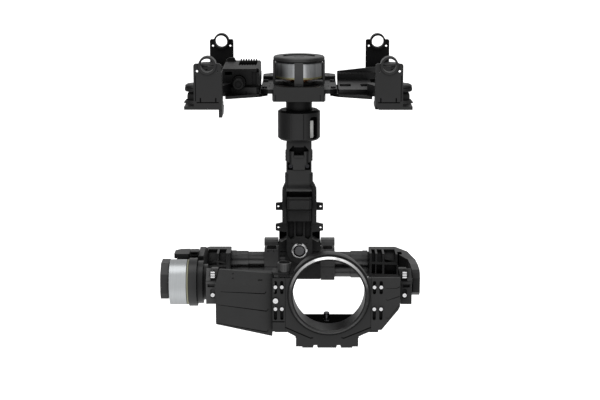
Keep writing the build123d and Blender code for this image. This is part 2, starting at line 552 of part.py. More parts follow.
with BuildPart() as arm_lower:
    block((-SPINE_HALF, SPINE_HALF), SPINE_Y, (ROLL_Z, UPPER_Z[0]))
    drum("y", (0, ROLL_Z), BOSS_R, SPINE_Y)
    block((-SPINE_HALF, SPINE_HALF), (SPINE_Y[0], BASE_Y[0]), (-195.0, UPPER_Z[0]))
    for side in (LEFT, RIGHT):
        ear = [(SPINE_HALF - 1.0, EAR_LOW_Z - 5.0), (EAR_X - 1.0, EAR_LOW_Z - 3.8),
               (EAR_X + 3.0, EAR_LOW_Z - 3.0), (EAR_X + 3.0, EAR_LOW_Z + 3.8),
               (SPINE_HALF - 1.0, EAR_LOW_Z + 6.6)]
        slab("y", mirrored(side, ear), (SPINE_Y[0] - 1.0, SPINE_Y[0] + 3.0), corner=0.9)
        drum("y", (side * EAR_X, EAR_LOW_Z), 1.2, (SPINE_Y[0] - 1.0, SPINE_Y[0] + 3.0), mode=CUT)
        outer_channel = [(5.7, -190.0), (12.2, -190.0), (12.2, -206.4), (9.4, -209.6), (5.7, -207.4)]
        slab("y", mirrored(side, outer_channel), (SPINE_Y[0] - 1, CHANNEL_FLOOR), corner=1.2, mode=CUT)
    middle_channel = [(-4.1, -190.0), (4.1, -190.0), (4.1, -206.2), (-4.1, -206.2)]
    slab("y", middle_channel, (SPINE_Y[0] - 1, CHANNEL_FLOOR), corner=1.6, mode=CUT)
    drum("y", (0, ROLL_Z), BEZEL_R, (SPINE_Y[0] - 1, SPINE_Y[0] + 3.2), mode=CUT)
    drum("y", (0, ROLL_Z), SHAFT_R + 0.4, SPINE_Y, mode=CUT)
    drum("y", (0, ROLL_Z), 9.0, (90.0, 95.0), mode=CUT)
    for turn in (0, 90, 180, 270):
        with BuildSketch(Plane.XZ.offset(-SPINE_Y[0] - 1)) as pips:
            with Locations((0, ROLL_Z)):
                with PolarLocations(11.2, 1, start_angle=turn + 45):
                    Circle(0.7)
        extrude(pips.sketch, amount=2.0, mode=CUT)
write(arm_lower, "arm_lower")

with BuildPart() as roll_bearings:
    drum("y", (0, ROLL_Z), 9.0, (90.0, 95.0), bore=SHAFT_R + RUNNING_GAP)
    drum("y", (0, ROLL_Z), 9.0, (BASE_Y[0], BASE_Y[1] - 1.0), bore=SHAFT_R + RUNNING_GAP)
write(roll_bearings, "roll_bearings")

ROLL_ROTOR_R = 20.0
ROLL_BASE_HALF = 22.4
ROLL_BASE_TOP = -208.3

with BuildPart() as roll_motor_base:
    right_half = [(13.4, UPPER_Z[0]), (13.4, ROLL_BASE_TOP), (ROLL_BASE_HALF, ROLL_BASE_TOP),
                  (ROLL_BASE_HALF, -236.0), (16.0, -243.4)]
    slab("y", right_half + mirrored(LEFT, reversed(right_half)), BASE_Y)
    drum("y", (0, ROLL_Z), SHAFT_R + 0.4, BASE_Y, mode=CUT)
    drum("y", (0, ROLL_Z), 9.0, (BASE_Y[0], BASE_Y[1] - 1.0), mode=CUT)
write(roll_motor_base, "roll_motor_base")

ROLL_CORE = (126.4, 137.0)
write(stator("y", (0, ROLL_Z), SHAFT_R + 0.6, 16.6, ROLL_CORE, (BASE_Y[1], ROLL_CORE[0])),
      "roll_stator")

with BuildPart() as arm_screws:
    for x, z in COVER_SCREWS:
        drum("y", (x, z), 2.0, (YOKE_FRONT + 4.4, YOKE_FRONT + 6.0))
        drum("y", (x, z), 0.95, (YOKE_FRONT + 6.0, YOKE_FRONT + 11.0))
        drum("y", (x, z), 0.8, (YOKE_FRONT + 4.4, YOKE_FRONT + 5.2), mode=CUT)
write(arm_screws, "arm_screws")

with BuildPart() as roll_bezel:
    with BuildSketch(Plane.YZ) as section:
        with BuildLine():
            Polyline((BEZEL_Y[1], ROLL_Z + BEZEL_BORE_R), (BEZEL_Y[0], ROLL_Z + BEZEL_BORE_R),
                     (BEZEL_Y[0], ROLL_Z + BEZEL_BORE_R + 0.4), (BEZEL_Y[0] + 1.6, ROLL_Z + BEZEL_R),
                     (BEZEL_Y[1], ROLL_Z + BEZEL_R), close=True)
        make_face()
    revolve(section.sketch, axis=Axis((0, 0, ROLL_Z), (0, 1, 0)))
    for side in (LEFT, RIGHT):
        block((side * 6.0, side * 9.0), (BEZEL_Y[0], 85.6), (ROLL_Z - 1.6, ROLL_Z + 1.6), mode=CUT)
write(roll_bezel, "roll_bezel")

# Roll frame: hub on the roll shaft, two beam tubes, and an end arm at each side.
with BuildPart() as roll_shaft:
    drum("y", (0, ROLL_Z), SHAFT_R, (84.6, 141.0))
    drum("y", (0, ROLL_Z), 4.4, (83.9, 84.6))
write(roll_shaft, "roll_shaft")

ROLL_CAN = (BASE_Y[1] + 0.6, 139.0)

with BuildPart() as roll_rotor:
    drum("y", (0, ROLL_Z), ROLL_ROTOR_R, ROLL_CAN, bore=17.8)
    drum("y", (0, ROLL_Z), ROLL_ROTOR_R - 1.0, (ROLL_CAN[1] - 1.4, 141.0), bore=SHAFT_R)
    drum("y", (0, ROLL_Z), 15.0, (140.2, 141.0), bore=9.0, mode=CUT)
write(roll_rotor, "roll_rotor")

HUB_HALF = 22.8
CLAMP_OUT = 38.0
FRAME_LOW = -256.7
CLAMP_LOW = -257.8

with BuildPart() as roll_hub:
    web = [(-HUB_HALF, FRAME_LOW), (HUB_HALF, FRAME_LOW), (HUB_HALF, -217.0), (13.0, -211.6),
           (-13.0, -211.6), (-HUB_HALF, -217.0)]
    slab("y", web, HUB_Y, corner=1.0)
    drum("y", (0, ROLL_Z), 12.6, HUB_Y)
    drum("y", (0, ROLL_Z), SHAFT_R, HUB_Y, mode=CUT)
    drum("x", (TUBE_Y, UPPER_TUBE_Z), UPPER_TUBE_R, (-HUB_HALF, HUB_HALF), mode=CUT)
    drum("x", (TUBE_Y, LOWER_TUBE_Z), LOWER_TUBE_R, (-HUB_HALF, HUB_HALF), mode=CUT)
    for side in (LEFT, RIGHT):
        face = (HUB_Y[0], HUB_Y[0] + 1.2)
        block((side * 14.6, side * 21.4), face, (-226.6, -225.4), mode=CUT)
        block((side * 15.4, side * 21.4), face, (-239.6, -229.4), mode=CUT)
write(roll_hub, "roll_hub")

with BuildPart() as tube_clamps:
    for side in (LEFT, RIGHT):
        wide = (side * (HUB_HALF + 0.1), side * CLAMP_OUT)
        body = [(97.0, CLAMP_LOW), (114.0, CLAMP_LOW), (114.0, -223.0), (97.0, -223.0)]
        slab("x", body, wide, corner=0.8)
        jaw = [(98.0, -219.6), (112.0, -219.6), (112.0, -212.9), (98.0, -212.9)]
        slab("x", jaw, wide, corner=[0.4, 0.4, 2.4, 2.4])
        block((side * 25.6, side * 35.4), (103.0, 109.0), (-223.2, -219.4))
        for tube_z, tube_r in ((UPPER_TUBE_Z, UPPER_TUBE_R), (LOWER_TUBE_Z, LOWER_TUBE_R)):
            drum("x", (TUBE_Y, tube_z), tube_r, (side * 20.0, side * 40.0), mode=CUT)
        for x in (28.2, 34.1):
            drum("y", (side * x, -225.4), 0.8, (97.0, 101.0), mode=CUT)
        block(wide, (96.0, 98.0), (-243.4, -242.6), mode=CUT)
write(tube_clamps, "tube_clamps")

TUBE_END = 77.0


def beam_tube(tube_z, tube_r, wall):
    with BuildPart() as tube:
        drum("x", (TUBE_Y, tube_z), tube_r, (-TUBE_END, TUBE_END), bore=tube_r - wall)
    return tube


write(beam_tube(UPPER_TUBE_Z, UPPER_TUBE_R, 1.2), "beam_tube_upper")
write(beam_tube(LOWER_TUBE_Z, LOWER_TUBE_R, 1.0), "beam_tube_lower")

with BuildPart() as tube_sleeves:
    for side in (LEFT, RIGHT):
        for tube_z, tube_r in ((UPPER_TUBE_Z, UPPER_TUBE_R), (LOWER_TUBE_Z, LOWER_TUBE_R)):
            drum("x", (TUBE_Y, tube_z), tube_r + 0.9, (side * 55.5, side * 73.8))
            drum("x", (TUBE_Y, tube_z), tube_r + 1.4, (side * 68.4, side * 73.8))
        for tube_z, tube_r in ((UPPER_TUBE_Z, UPPER_TUBE_R), (LOWER_TUBE_Z, LOWER_TUBE_R)):
            drum("x", (TUBE_Y, tube_z), tube_r, (side * 50.0, side * 80.0), mode=CUT)
write(tube_sleeves, "tube_sleeves")

BOX_IN = 74.0
BOX_BACK = 113.0
BOX_FRONT = 79.0
BOX_LOW = -257.0
FRAME_TOP = -224.2
BAY_BACK = 101.0
STRAP_Y = (26.0, 33.0)
STRAP_STEP = -126.0
STRAP_END = -139.0


def bays(spans, floor, wedge_top):
    """Bays open to the front and the top, each with a sloping gusset against its back wall."""
    for span in spans:
        block(span, (BOX_FRONT - 1, BAY_BACK), (floor, FRAME_TOP + 1), mode=CUT)
        slab("x", [(BAY_BACK - 14.0, floor), (BAY_BACK, floor), (BAY_BACK, wedge_top)], span)


with BuildPart() as end_arm_left:
    corner_box = [(-102.0, BOX_FRONT), (-BOX_IN, BOX_FRONT + 4.0), (-BOX_IN, BOX_BACK),
                  (-98.0, BOX_BACK), (-104.0, 104.0)]
    slab("z", corner_box, (BOX_LOW, FRAME_TOP), corner=1.0)
    bays(((-98.2, -88.4), (-86.2, -78.7)), -236.6, -228.0)
    for low, high in ((-100.0, -92.0), (-90.4, -78.7)):
        block((low, high), (BOX_FRONT - 1, BOX_FRONT + 9.0), (-254.6, -239.0), mode=CUT)
    drum("x", (TUBE_Y, UPPER_TUBE_Z), UPPER_TUBE_R, (-TUBE_END, -BOX_IN), mode=CUT)
    drum("x", (TUBE_Y, LOWER_TUBE_Z), LOWER_TUBE_R, (-TUBE_END, -BOX_IN), mode=CUT)
    # Cheek that runs forward beside the tilt motor, and the strap that carries its outer cap.
    cheek = [(24.6, -250.0), (BOX_FRONT + 14, -250.0), (BOX_FRONT + 14, -221.6), (60.0, -211.4),
             (24.6, -212.2)]
    slab("x", cheek, (-104.0, -98.4), corner=0.8)
    strap = [(-101.0, STRAP_Y[0]), (-101.0, 50.0), (-112.0, 44.0), (STRAP_STEP, 39.0),
             (STRAP_STEP, STRAP_Y[0])]
    slab("z", strap, (-250.0, -212.4))
    tip = [(STRAP_STEP, STRAP_Y[0]), (STRAP_STEP, 39.0), (STRAP_END, STRAP_Y[1]),
           (STRAP_END, STRAP_Y[0])]
    slab("z", tip, (-250.0, -222.4))
    hood = [(-113.0, STRAP_Y[0] - 2.0), (-113.0, 47.0), (-123.0, 46.0), (-128.6, 40.0),
            (-128.6, STRAP_Y[0] - 2.0)]
    slab("z", hood, (-215.0, -210.2), corner=1.2)
    block((-112.0, -103.4), (STRAP_Y[0], 38.0), (-213.0, -208.2))
    for z in (-211.6, -215.2):
        block((-111.4, -104.6), (STRAP_Y[0] - 1, STRAP_Y[0] + 8.0), (z, z + 2.1), mode=CUT)
write(end_arm_left, "end_arm_left")

PIVOT_WALL = (114.0, 121.8)
PIVOT_R = 13.0

with BuildPart() as end_arm_right:
    corner_box = [(BOX_IN + 1, BOX_FRONT + 4.0), (108.0, BOX_FRONT), (116.0, 92.0), (104.0, BOX_BACK),
                  (BOX_IN + 1, BOX_BACK)]
    slab("z", corner_box, (BOX_LOW, FRAME_TOP), corner=1.0)
    wall = [(104.0, 84.0), (PIVOT_WALL[0], 56.0), (PIVOT_WALL[0], -PIVOT_R), (PIVOT_WALL[1], -PIVOT_R),
            (PIVOT_WALL[1], 58.0), (116.0, 92.0)]
    slab("z", wall, (-247.0, -219.0), corner=0.8)
    bays(((77.4, 81.2), (83.4, 88.7), (90.9, 102.7)), -233.6, -227.4)
    block((104.8, 109.6), (BOX_FRONT - 1, BOX_FRONT + 11.0), (-236.0, FRAME_TOP + 6.0), mode=CUT)
    for low, high in ((77.4, 81.2), (82.4, 88.7), (90.9, 104.0)):
        block((low, high), (BOX_FRONT - 1, BOX_FRONT + 10.0), (-246.6, -236.0), mode=CUT)
    drum("x", (TUBE_Y, UPPER_TUBE_Z), UPPER_TUBE_R, (BOX_IN, TUBE_END), mode=CUT)
    drum("x", (TUBE_Y, LOWER_TUBE_Z), LOWER_TUBE_R, (BOX_IN, TUBE_END), mode=CUT)
    wall_x = (PIVOT_WALL[0] - 11.0, PIVOT_WALL[1] + 1.0)
    top_cut = [(-PIVOT_R - 1, -218.0), (-PIVOT_R - 1, -227.0), (-9.0, -221.0), (-4.0, -219.2),
               (20.0, -219.8), (60.0, FRAME_TOP), (120.0, FRAME_TOP), (120.0, -218.0)]
    slab("x", top_cut, wall_x, mode=CUT)
    lower_cut = [(-PIVOT_R - 1, -248.0), (24.0, -248.0), (12.0, -246.6), (-4.0, -245.6),
                 (-PIVOT_R - 1, -240.0)]
    slab("x", lower_cut, wall_x, mode=CUT)
    drum("x", (0, TILT_Z), 8.6, (PIVOT_WALL[0], 120.0), mode=CUT)
write(end_arm_right, "end_arm_right")

BASE_FLANGE = (-110.8, -102.6)
TILT_CAN = (-130.2, -113.2)
TILT_CAN_R = 22.9
TILT_CORE = (-126.2, -114.6)
TILT_HUB = (-102.1, -96.6)
TILT_BEARING = (-109.0, -104.6)

with BuildPart() as tilt_motor_base:
    drum("x", (0, TILT_Z), 24.4, BASE_FLANGE)
    lug = [(0, -250.0), (STRAP_Y[0], -250.0), (STRAP_Y[0], -216.0), (0, -212.4)]
    slab("x", lug, (BASE_FLANGE[0], -104.6))
    drum("x", (0, TILT_Z), SHAFT_R + 0.4, BASE_FLANGE, mode=CUT)
    drum("x", (0, TILT_Z), 9.0, TILT_BEARING, mode=CUT)
    drum("x", (0, TILT_Z), 23.0, (BASE_FLANGE[1] - 0.6, BASE_FLANGE[1]), bore=20.0, mode=CUT)
write(tilt_motor_base, "tilt_motor_base")

with BuildPart() as tilt_bearings:
    drum("x", (0, TILT_Z), 9.0, TILT_BEARING, bore=SHAFT_R + RUNNING_GAP)
    drum("x", (0, TILT_Z), 8.6, (PIVOT_WALL[0] + 0.6, 119.6), bore=SHAFT_R + RUNNING_GAP)
write(tilt_bearings, "tilt_bearings")

write(stator("x", (0, TILT_Z), SHAFT_R + 0.6, 19.4, TILT_CORE, (TILT_CORE[1], BASE_FLANGE[0])),
      "tilt_stator")

with BuildPart() as tilt_encoder_cover:
    cap = [(-17.0, -246.6), (17.0, -246.6), (20.6, -238.0), (20.6, -222.0), (12.0, -212.0),
           (-8.0, -212.0), (-18.6, -221.0), (-20.6, -229.0), (-20.6, -240.0)]
    slab("x", cap, (STRAP_END, TILT_CAN[0] - 0.8), corner=2.0)
    block((STRAP_END, TILT_CAN[0] - 0.8), (12.0, STRAP_Y[0]), (-246.0, -222.4))
    drum("x", (0, TILT_Z), 9.0, (STRAP_END, STRAP_END + 0.6), bore=8.2, mode=CUT)
write(tilt_encoder_cover, "tilt_encoder_cover")

# Camera tray: swings about the tilt axis, and carries the camera and the lens ring.
SIDE_LEFT = (-92.2, -82.0)
SIDE_RIGHT = (101.0, 112.0)
SIDE_FRONT = -34.0
SIDE_LOW = -246.8
FACE_FRONT, FACE_BACK = -50.0, -47.0
WALL_FACE = (-16.0, -12.0)
WALL_TOP = -226.0
TRAY_FLOOR = (CAMERA_FLOOR_Z - 2.6, CAMERA_FLOOR_Z)

with BuildPart() as tilt_rotor:
    drum("x", (0, TILT_Z), TILT_CAN_R, TILT_CAN, bore=20.4)
    drum("x", (0, TILT_Z), TILT_CAN_R - 1.0, (TILT_CAN[0], TILT_CAN[0] + 2.4), bore=SHAFT_R)
write(tilt_rotor, "tilt_rotor")

with BuildPart() as tilt_hub:
    drum("x", (0, TILT_Z), SHAFT_R, (TILT_CAN[0], TILT_HUB[0]))
    drum("x", (0, TILT_Z), 21.6, TILT_HUB)
    drum("x", (0, TILT_Z), 18.0, (TILT_HUB[1], SIDE_LEFT[0]), bore=9.0)
    drum("x", (0, TILT_Z), 19.6, (TILT_HUB[0], TILT_HUB[0] + 0.8), bore=16.0, mode=CUT)
write(tilt_hub, "tilt_hub")


def tray_side(across, outer):
    """Side bracket: front plate with a leaning top, and a cheek that reaches the tilt axis."""
    inner = across[0] if outer == across[1] else across[1]
    lean = 3.2 if inner > outer else -3.2
    with BuildPart() as bracket:
        block(across, (SIDE_FRONT, SIDE_FRONT + 6.0), (SIDE_LOW, -224.6))
        crown = [(outer + lean * 0.3, -223.4), (outer + lean * 1.7, -211.6),
                 (inner + lean * 0.7, -211.6), (inner - lean * 0.2, -223.4)]
        slab("y", crown, (SIDE_FRONT + 5.0, SIDE_FRONT + 11.0), corner=0.8)
        block(across, (SIDE_FRONT - 1.6, SIDE_FRONT + 11.0), (-226.0, -223.4))
        cheek = [(SIDE_FRONT, SIDE_LOW), (SIDE_FRONT, -224.6), (-22.0, -213.0), (-12.0, -216.0),
                 (9.0, -222.0), (15.0, -228.0), (15.0, -239.0), (8.0, -246.0), (-10.0, SIDE_LOW)]
        thick = 4.5 if inner > outer else -4.5
        slab("x", cheek, (outer, outer + thick), corner=1.0)
        middle = (inner + outer) / 2
        drum("y", (middle + lean * 0.6, -214.2), 1.4, (SIDE_FRONT, SIDE_FRONT + 12), mode=CUT)
        block((middle - 3.4, middle + 3.4), (SIDE_FRONT, SIDE_FRONT + 2.4), (-229.6, -226.2), mode=CUT)
        slot("y", (middle + lean * 0.5, -236.0), (4.6, 10.0), (SIDE_FRONT, SIDE_FRONT + 1.6))
    return bracket


write(tray_side(SIDE_LEFT, SIDE_LEFT[0]), "tray_side_left")
with BuildPart() as tray_side_right:
    add(tray_side(SIDE_RIGHT, SIDE_RIGHT[1]).part)
    block((97.0, SIDE_RIGHT[0]), WALL_FACE, (SIDE_LOW, WALL_TOP))
    block((SIDE_RIGHT[0] - 0.1, SIDE_RIGHT[1] - 4.0), (SIDE_FRONT + 5.0, WALL_FACE[1]), (-240.0, -232.0))
write(tray_side_right, "tray_side_right")

with BuildPart() as tray_floor:
    floor = [(-24.4, -12.0), (-2.0, -12.0), (-2.0, -40.0), (58.0, -40.0), (58.0, -12.0), (80.0, -12.0),
             (80.0, 34.0), (74.0, 40.0), (-18.0, 40.0), (-24.4, 34.0)]
    slab("z", floor, TRAY_FLOOR, corner=1.0)
    left_wall = [(-24.4, TRAY_FLOOR[0]), (-9.0, TRAY_FLOOR[0]), (-9.0, -262.0), (-14.0, -252.0),
                 (-24.4, -252.0)]
    slab("y", left_wall, WALL_FACE)
    right_wall = [(68.0, TRAY_FLOOR[0]), (80.0, TRAY_FLOOR[0]), (82.0, -268.0), (97.0, -247.0),
                  (97.0, WALL_TOP), (72.0, WALL_TOP), (72.0, -252.0), (68.0, -262.0)]
    slab("y", right_wall, WALL_FACE)
    with BuildSketch(Plane.XY.offset(TRAY_FLOOR[0])) as screw_slot:
        with Locations((28.5, 26.0)):
            SlotOverall(22.0, 7.0, rotation=90)
    extrude(screw_slot.sketch, amount=depth(TRAY_FLOOR), mode=CUT)
write(tray_floor, "tray_floor")

COVER_X = (-82.0, -26.2)
COVER_FRONT = -45.0
COVER_CREASE = -223.6          # the front leans back above this height
COVER_TOP = (-210.4, -214.0)   # top edge at the left and right end
COVER_ROOF = -221.5
COVER_LOW = (-264.4, -276.6)   # bottom edge at the left and right end
SHELL = 2.0
CREASE_WIDTH, CREASE_DEPTH = 1.5, 1.6
CREASES = (((-77.0, -231.4), (-33.5, -233.6)), ((-80.0, -244.7), (-31.6, -251.5)),
           ((-80.0, -263.6), (-31.6, -272.9)))


def groove(path, width, span):
    """Groove along a path of (x, z) points; it opens to its full width at the last point."""
    upper = [(x, z + width * (0.3 + 0.7 * i / (len(path) - 1))) for i, (x, z) in enumerate(path)]
    slab("y", list(path) + upper[::-1], span, mode=CUT)


with BuildPart() as grip_cover:
    front = [(COVER_X[0], COVER_LOW[0]), (COVER_X[1], COVER_LOW[1]),
             (COVER_X[1], COVER_TOP[1]), (COVER_X[0] + 3.6, COVER_TOP[0]), (COVER_X[0], COVER_CREASE)]
    slab("y", front, (COVER_FRONT, 0), corner=[1.4, 0.4, 0.4, 1.4, 0.4])
    above = [(-31.0, COVER_ROOF), (-34.0, COVER_TOP[0] + 1), (1.0, COVER_TOP[0] + 1), (1.0, COVER_ROOF)]
    slab("x", above, (COVER_X[0] - 1, COVER_X[1] + 1), mode=CUT)
    ahead = [(COVER_FRONT - 1, COVER_CREASE), (COVER_FRONT, COVER_CREASE), (-37.2, COVER_TOP[0] + 1),
             (COVER_FRONT - 1, COVER_TOP[0] + 1)]
    slab("x", ahead, (COVER_X[0] - 1, COVER_X[1] + 1), mode=CUT)
    hollow = [(COVER_X[0] + SHELL, COVER_LOW[0] + SHELL), (COVER_X[1] - SHELL, COVER_LOW[1] + SHELL),
              (COVER_X[1] - SHELL, COVER_ROOF - SHELL), (COVER_X[0] + SHELL, COVER_ROOF - SHELL)]
    slab("y", hollow, (COVER_FRONT + SHELL, 1.0), corner=0.6, mode=CUT)
    # Three long creases in the front, each deepest where it turns up at its right end.
    for left_end, right_end in CREASES:
        turn_up = (right_end[0] + 1.5, right_end[1] + 1.9)
        groove((left_end, right_end, turn_up), CREASE_WIDTH, (COVER_FRONT, COVER_FRONT + CREASE_DEPTH))
    block((-40.2, -35.8), (COVER_FRONT, -40.0), (-220.2, -219.3), mode=CUT)
    for z in (-214.2, -218.2):
        drum("y", (-64.8, z), 0.6, (COVER_FRONT, -36.0), mode=CUT)
write(grip_cover, "grip_cover")

SLOT_X = (-25.9, -13.4)
RING_SCREW_X = (-22.9, -16.6, 74.2, 80.8)
UPPER_SLOT_Z, LOWER_SLOT_Z = -225.4, -251.8
UPPER_SCREW_Z, LOWER_SCREW_Z = -224.7, -246.9
SLOT_SIZE = (3.2, 13.4)
FACE = (FACE_FRONT, FACE_BACK)
BIG_SCREW = (-22.8, -238.8)
KNOB_AT = (-14.2, -38.0)
SHELF = (-214.0, -211.6)

with BuildPart() as slot_plate:
    plate = [(SLOT_X[0], -270.4), (SLOT_X[1], -270.4), (SLOT_X[1], -216.0), (SLOT_X[0], -216.0)]
    slab("y", plate, FACE, corner=0.6)
    block((SLOT_X[0], SLOT_X[0] + 1.4), (FACE_BACK, WALL_FACE[1]), (-270.4, -216.0))
    shelf = [(SLOT_X[0], -45.0), (-9.0, -45.0), (-9.0, -32.0), (SLOT_X[0], -28.0)]
    slab("z", shelf, SHELF, corner=1.0)
    block((SLOT_X[0], SLOT_X[0] + 1.4), (-44.0, -29.0), (-217.0, SHELF[0]))
    for x in RING_SCREW_X[:2]:
        slot("y", (x, UPPER_SLOT_Z), SLOT_SIZE, FACE)
        slot("y", (x, LOWER_SLOT_Z), SLOT_SIZE, FACE)
    drum("y", BIG_SCREW, 3.4, (FACE_FRONT, FACE_FRONT + 0.8), mode=CUT)
    drum("y", BIG_SCREW, 1.6, FACE, mode=CUT)
    block((SLOT_X[0], SLOT_X[1] - 0.6), (FACE_FRONT, FACE_FRONT + 1.8), (-260.9, -259.8), mode=CUT)
    drum("z", KNOB_AT, 2.1, SHELF, mode=CUT)
write(slot_plate, "slot_plate")

FRONT_X = (71.2, 99.6)

with BuildPart() as front_plate:
    plate = [(FRONT_X[0], -268.6), (81.6, -268.6), (98.0, -248.0), (FRONT_X[1], -244.4),
             (FRONT_X[1], -215.4), (FRONT_X[0], -215.4)]
    slab("y", plate, FACE, corner=0.8)
    block((97.4, FRONT_X[1]), (FACE_BACK, WALL_FACE[0]), (-244.0, WALL_TOP))
    # Three short creases right of the slots.
    for path in (((85.0, -226.3), (95.9, -226.3), (99.0, -224.9)),
                 ((85.2, -237.2), (87.2, -238.6), (99.0, -234.6)),
                 ((85.4, -256.2), (88.4, -257.1), (98.6, -243.8))):
        groove(path, 0.8, (FACE_FRONT, FACE_FRONT + 1.3))
    for x in RING_SCREW_X[2:]:
        slot("y", (x, UPPER_SLOT_Z), SLOT_SIZE, FACE)
        slot("y", (x, LOWER_SLOT_Z), SLOT_SIZE, FACE)
write(front_plate, "front_plate")

SIDE_MIDDLES = (sum(SIDE_LEFT) / 2, sum(SIDE_RIGHT) / 2)

with BuildPart() as tray_screws:
    drum("y", BIG_SCREW, 2.6, (FACE_FRONT - 1.4, FACE_FRONT + 0.8))
    drum("y", BIG_SCREW, 1.55, (FACE_FRONT + 0.8, FACE_BACK))
    drum("y", BIG_SCREW, 1.2, (FACE_FRONT - 1.4, FACE_FRONT - 0.4), mode=CUT)
    for middle, lean in ((SIDE_MIDDLES[0], 1.6), (SIDE_MIDDLES[1], -1.6)):
        for z in (-215.4, -217.8, -220.2):
            bar = (middle - lean * 0.3, middle + lean * 2.3)
            block(bar, (SIDE_FRONT + 3.2, SIDE_FRONT + 5.0), (z - 0.8, z + 0.8))
        drum("y", (middle + lean, -237.6), 2.0, (SIDE_FRONT - 0.6, SIDE_FRONT + 1.6))
        drum("y", (middle + lean, -237.6), 0.9, (SIDE_FRONT - 0.6, SIDE_FRONT + 0.4), mode=CUT)
write(tray_screws, "tray_screws")

with BuildPart() as pivot_pin:
    drum("x", (0, TILT_Z), SHAFT_R, (SIDE_RIGHT[1], 119.4))
    drum("x", (0, TILT_Z), 7.6, (SIDE_RIGHT[1], SIDE_RIGHT[1] + 0.7))
write(pivot_pin, "pivot_pin")

# Lens ring: rides up and down in the slots of the tray and steadies the lens.
HOUSING_FACE = (-49.8, FACE_BACK + BODY_GAP)
HOUSING_BACK = (FACE_BACK + BODY_GAP, -42.0)
HOUSING_X = (SLOT_X[1] + BODY_GAP, FRONT_X[0] - BODY_GAP)
RING_FRONT, RING_BACK = -53.0, -27.0
RING_OUT_R = 39.3
BORE_CHAMFER, RIM_CHAMFER = 0.9, 2.1
SCREW_HEAD_R, SCREW_HEAD = 1.75, 1.6
BLOCK_X = (-3.4, 59.4)
BLOCK_LOW = -287.0

with BuildPart() as ring_housing:
    face = [(HOUSING_X[0], -270.0), (BLOCK_X[0] + 0.6, -275.6), (BLOCK_X[0] + 0.6, BLOCK_LOW),
            (BLOCK_X[1] - 0.6, BLOCK_LOW), (BLOCK_X[1] - 0.6, -275.6), (HOUSING_X[1], -270.0),
            (HOUSING_X[1], -216.0), (HOUSING_X[0], -216.0)]
    slab("y", face, HOUSING_FACE, corner=0.6)
    drum("y", (LENS_X, TILT_Z), 41.6, (HOUSING_FACE[0], HOUSING_BACK[1]))
    back = [(-24.0, -266.0), (HOUSING_X[0], -268.0), (BLOCK_X[0], -274.0), (BLOCK_X[0], -278.0),
            (BLOCK_X[1], -278.0), (BLOCK_X[1], -274.0), (HOUSING_X[1], -268.0), (84.0, -264.0),
            (84.0, -217.0), (-24.0, -217.0)]
    slab("y", back, HOUSING_BACK, corner=0.6)
    drum("y", (LENS_X, TILT_Z), RING_OUT_R, (RING_FRONT, HOUSING_BACK[1] + 1), mode=CUT)
    # Shallow slanting grooves below the ring, and three feet with two notches between them.
    for outer, inner in ((-13.1, 11.6), (70.8, 44.6)):
        hook = 2.6 if inner > outer else -2.6
        line = [(outer, -265.6), (inner, -276.6), (inner + hook, -276.2), (inner + hook, -277.2),
                (inner, -277.8), (outer, -266.8)]
        slab("y", line, (HOUSING_FACE[0], HOUSING_FACE[0] + 1.8), mode=CUT)
    drum("y", (LENS_X, TILT_Z), 40.9, (HOUSING_FACE[0], HOUSING_FACE[0] + 0.6), bore=40.2, mode=CUT)
    for x in (16.4, 39.4):
        notch = [(x - 2.6, BLOCK_LOW - 1), (x + 2.6, BLOCK_LOW - 1), (x + 1.6, -284.4), (x - 1.6, -284.4)]
        slab("y", notch, HOUSING_FACE, mode=CUT)
    for x in (0.0, 56.4):
        foot = [(x - 3.4, BLOCK_LOW - 1), (x + 3.4, BLOCK_LOW - 1), (x + 3.4, -285.8), (x - 3.4, -285.8)]
        slab("y", foot, HOUSING_FACE, mode=CUT)
    for x in RING_SCREW_X:
        for z in (UPPER_SCREW_Z, LOWER_SCREW_Z):
            drum("y", (x, z), 1.25, HOUSING_BACK, mode=CUT)
write(ring_housing, "ring_housing")

with BuildPart() as lens_ring:
    with BuildSketch(Plane.YZ.offset(LENS_X)) as section:
        with BuildLine():
            Polyline((RING_BACK, TILT_Z + LENS_BORE_R),
                     (RING_FRONT + BORE_CHAMFER, TILT_Z + LENS_BORE_R),
                     (RING_FRONT, TILT_Z + LENS_BORE_R + BORE_CHAMFER),
                     (RING_FRONT, TILT_Z + RING_OUT_R - RIM_CHAMFER),
                     (RING_FRONT + RIM_CHAMFER, TILT_Z + RING_OUT_R),
                     (RING_BACK, TILT_Z + RING_OUT_R), close=True)
        make_face()
    revolve(section.sketch, axis=Axis((LENS_X, 0, TILT_Z), (0, 1, 0)))
write(lens_ring, "lens_ring")

with BuildPart() as ring_screws:
    for x in RING_SCREW_X:
        for z in (UPPER_SCREW_Z, LOWER_SCREW_Z):
            head_back = FACE_FRONT - 0.1
            drum("y", (x, z), SCREW_HEAD_R, (head_back - SCREW_HEAD, head_back))
            drum("y", (x, z), 1.2, (head_back, HOUSING_BACK[1]))
            drum("y", (x, z), 0.8, (head_back - SCREW_HEAD, head_back - 0.8), mode=CUT)
write(ring_screws, "ring_screws")

# Hand-turned pieces
KNOB_R = 6.7
KNOB_Z = (SHELF[1] + 0.2, -202.8)
KNURLS = 20

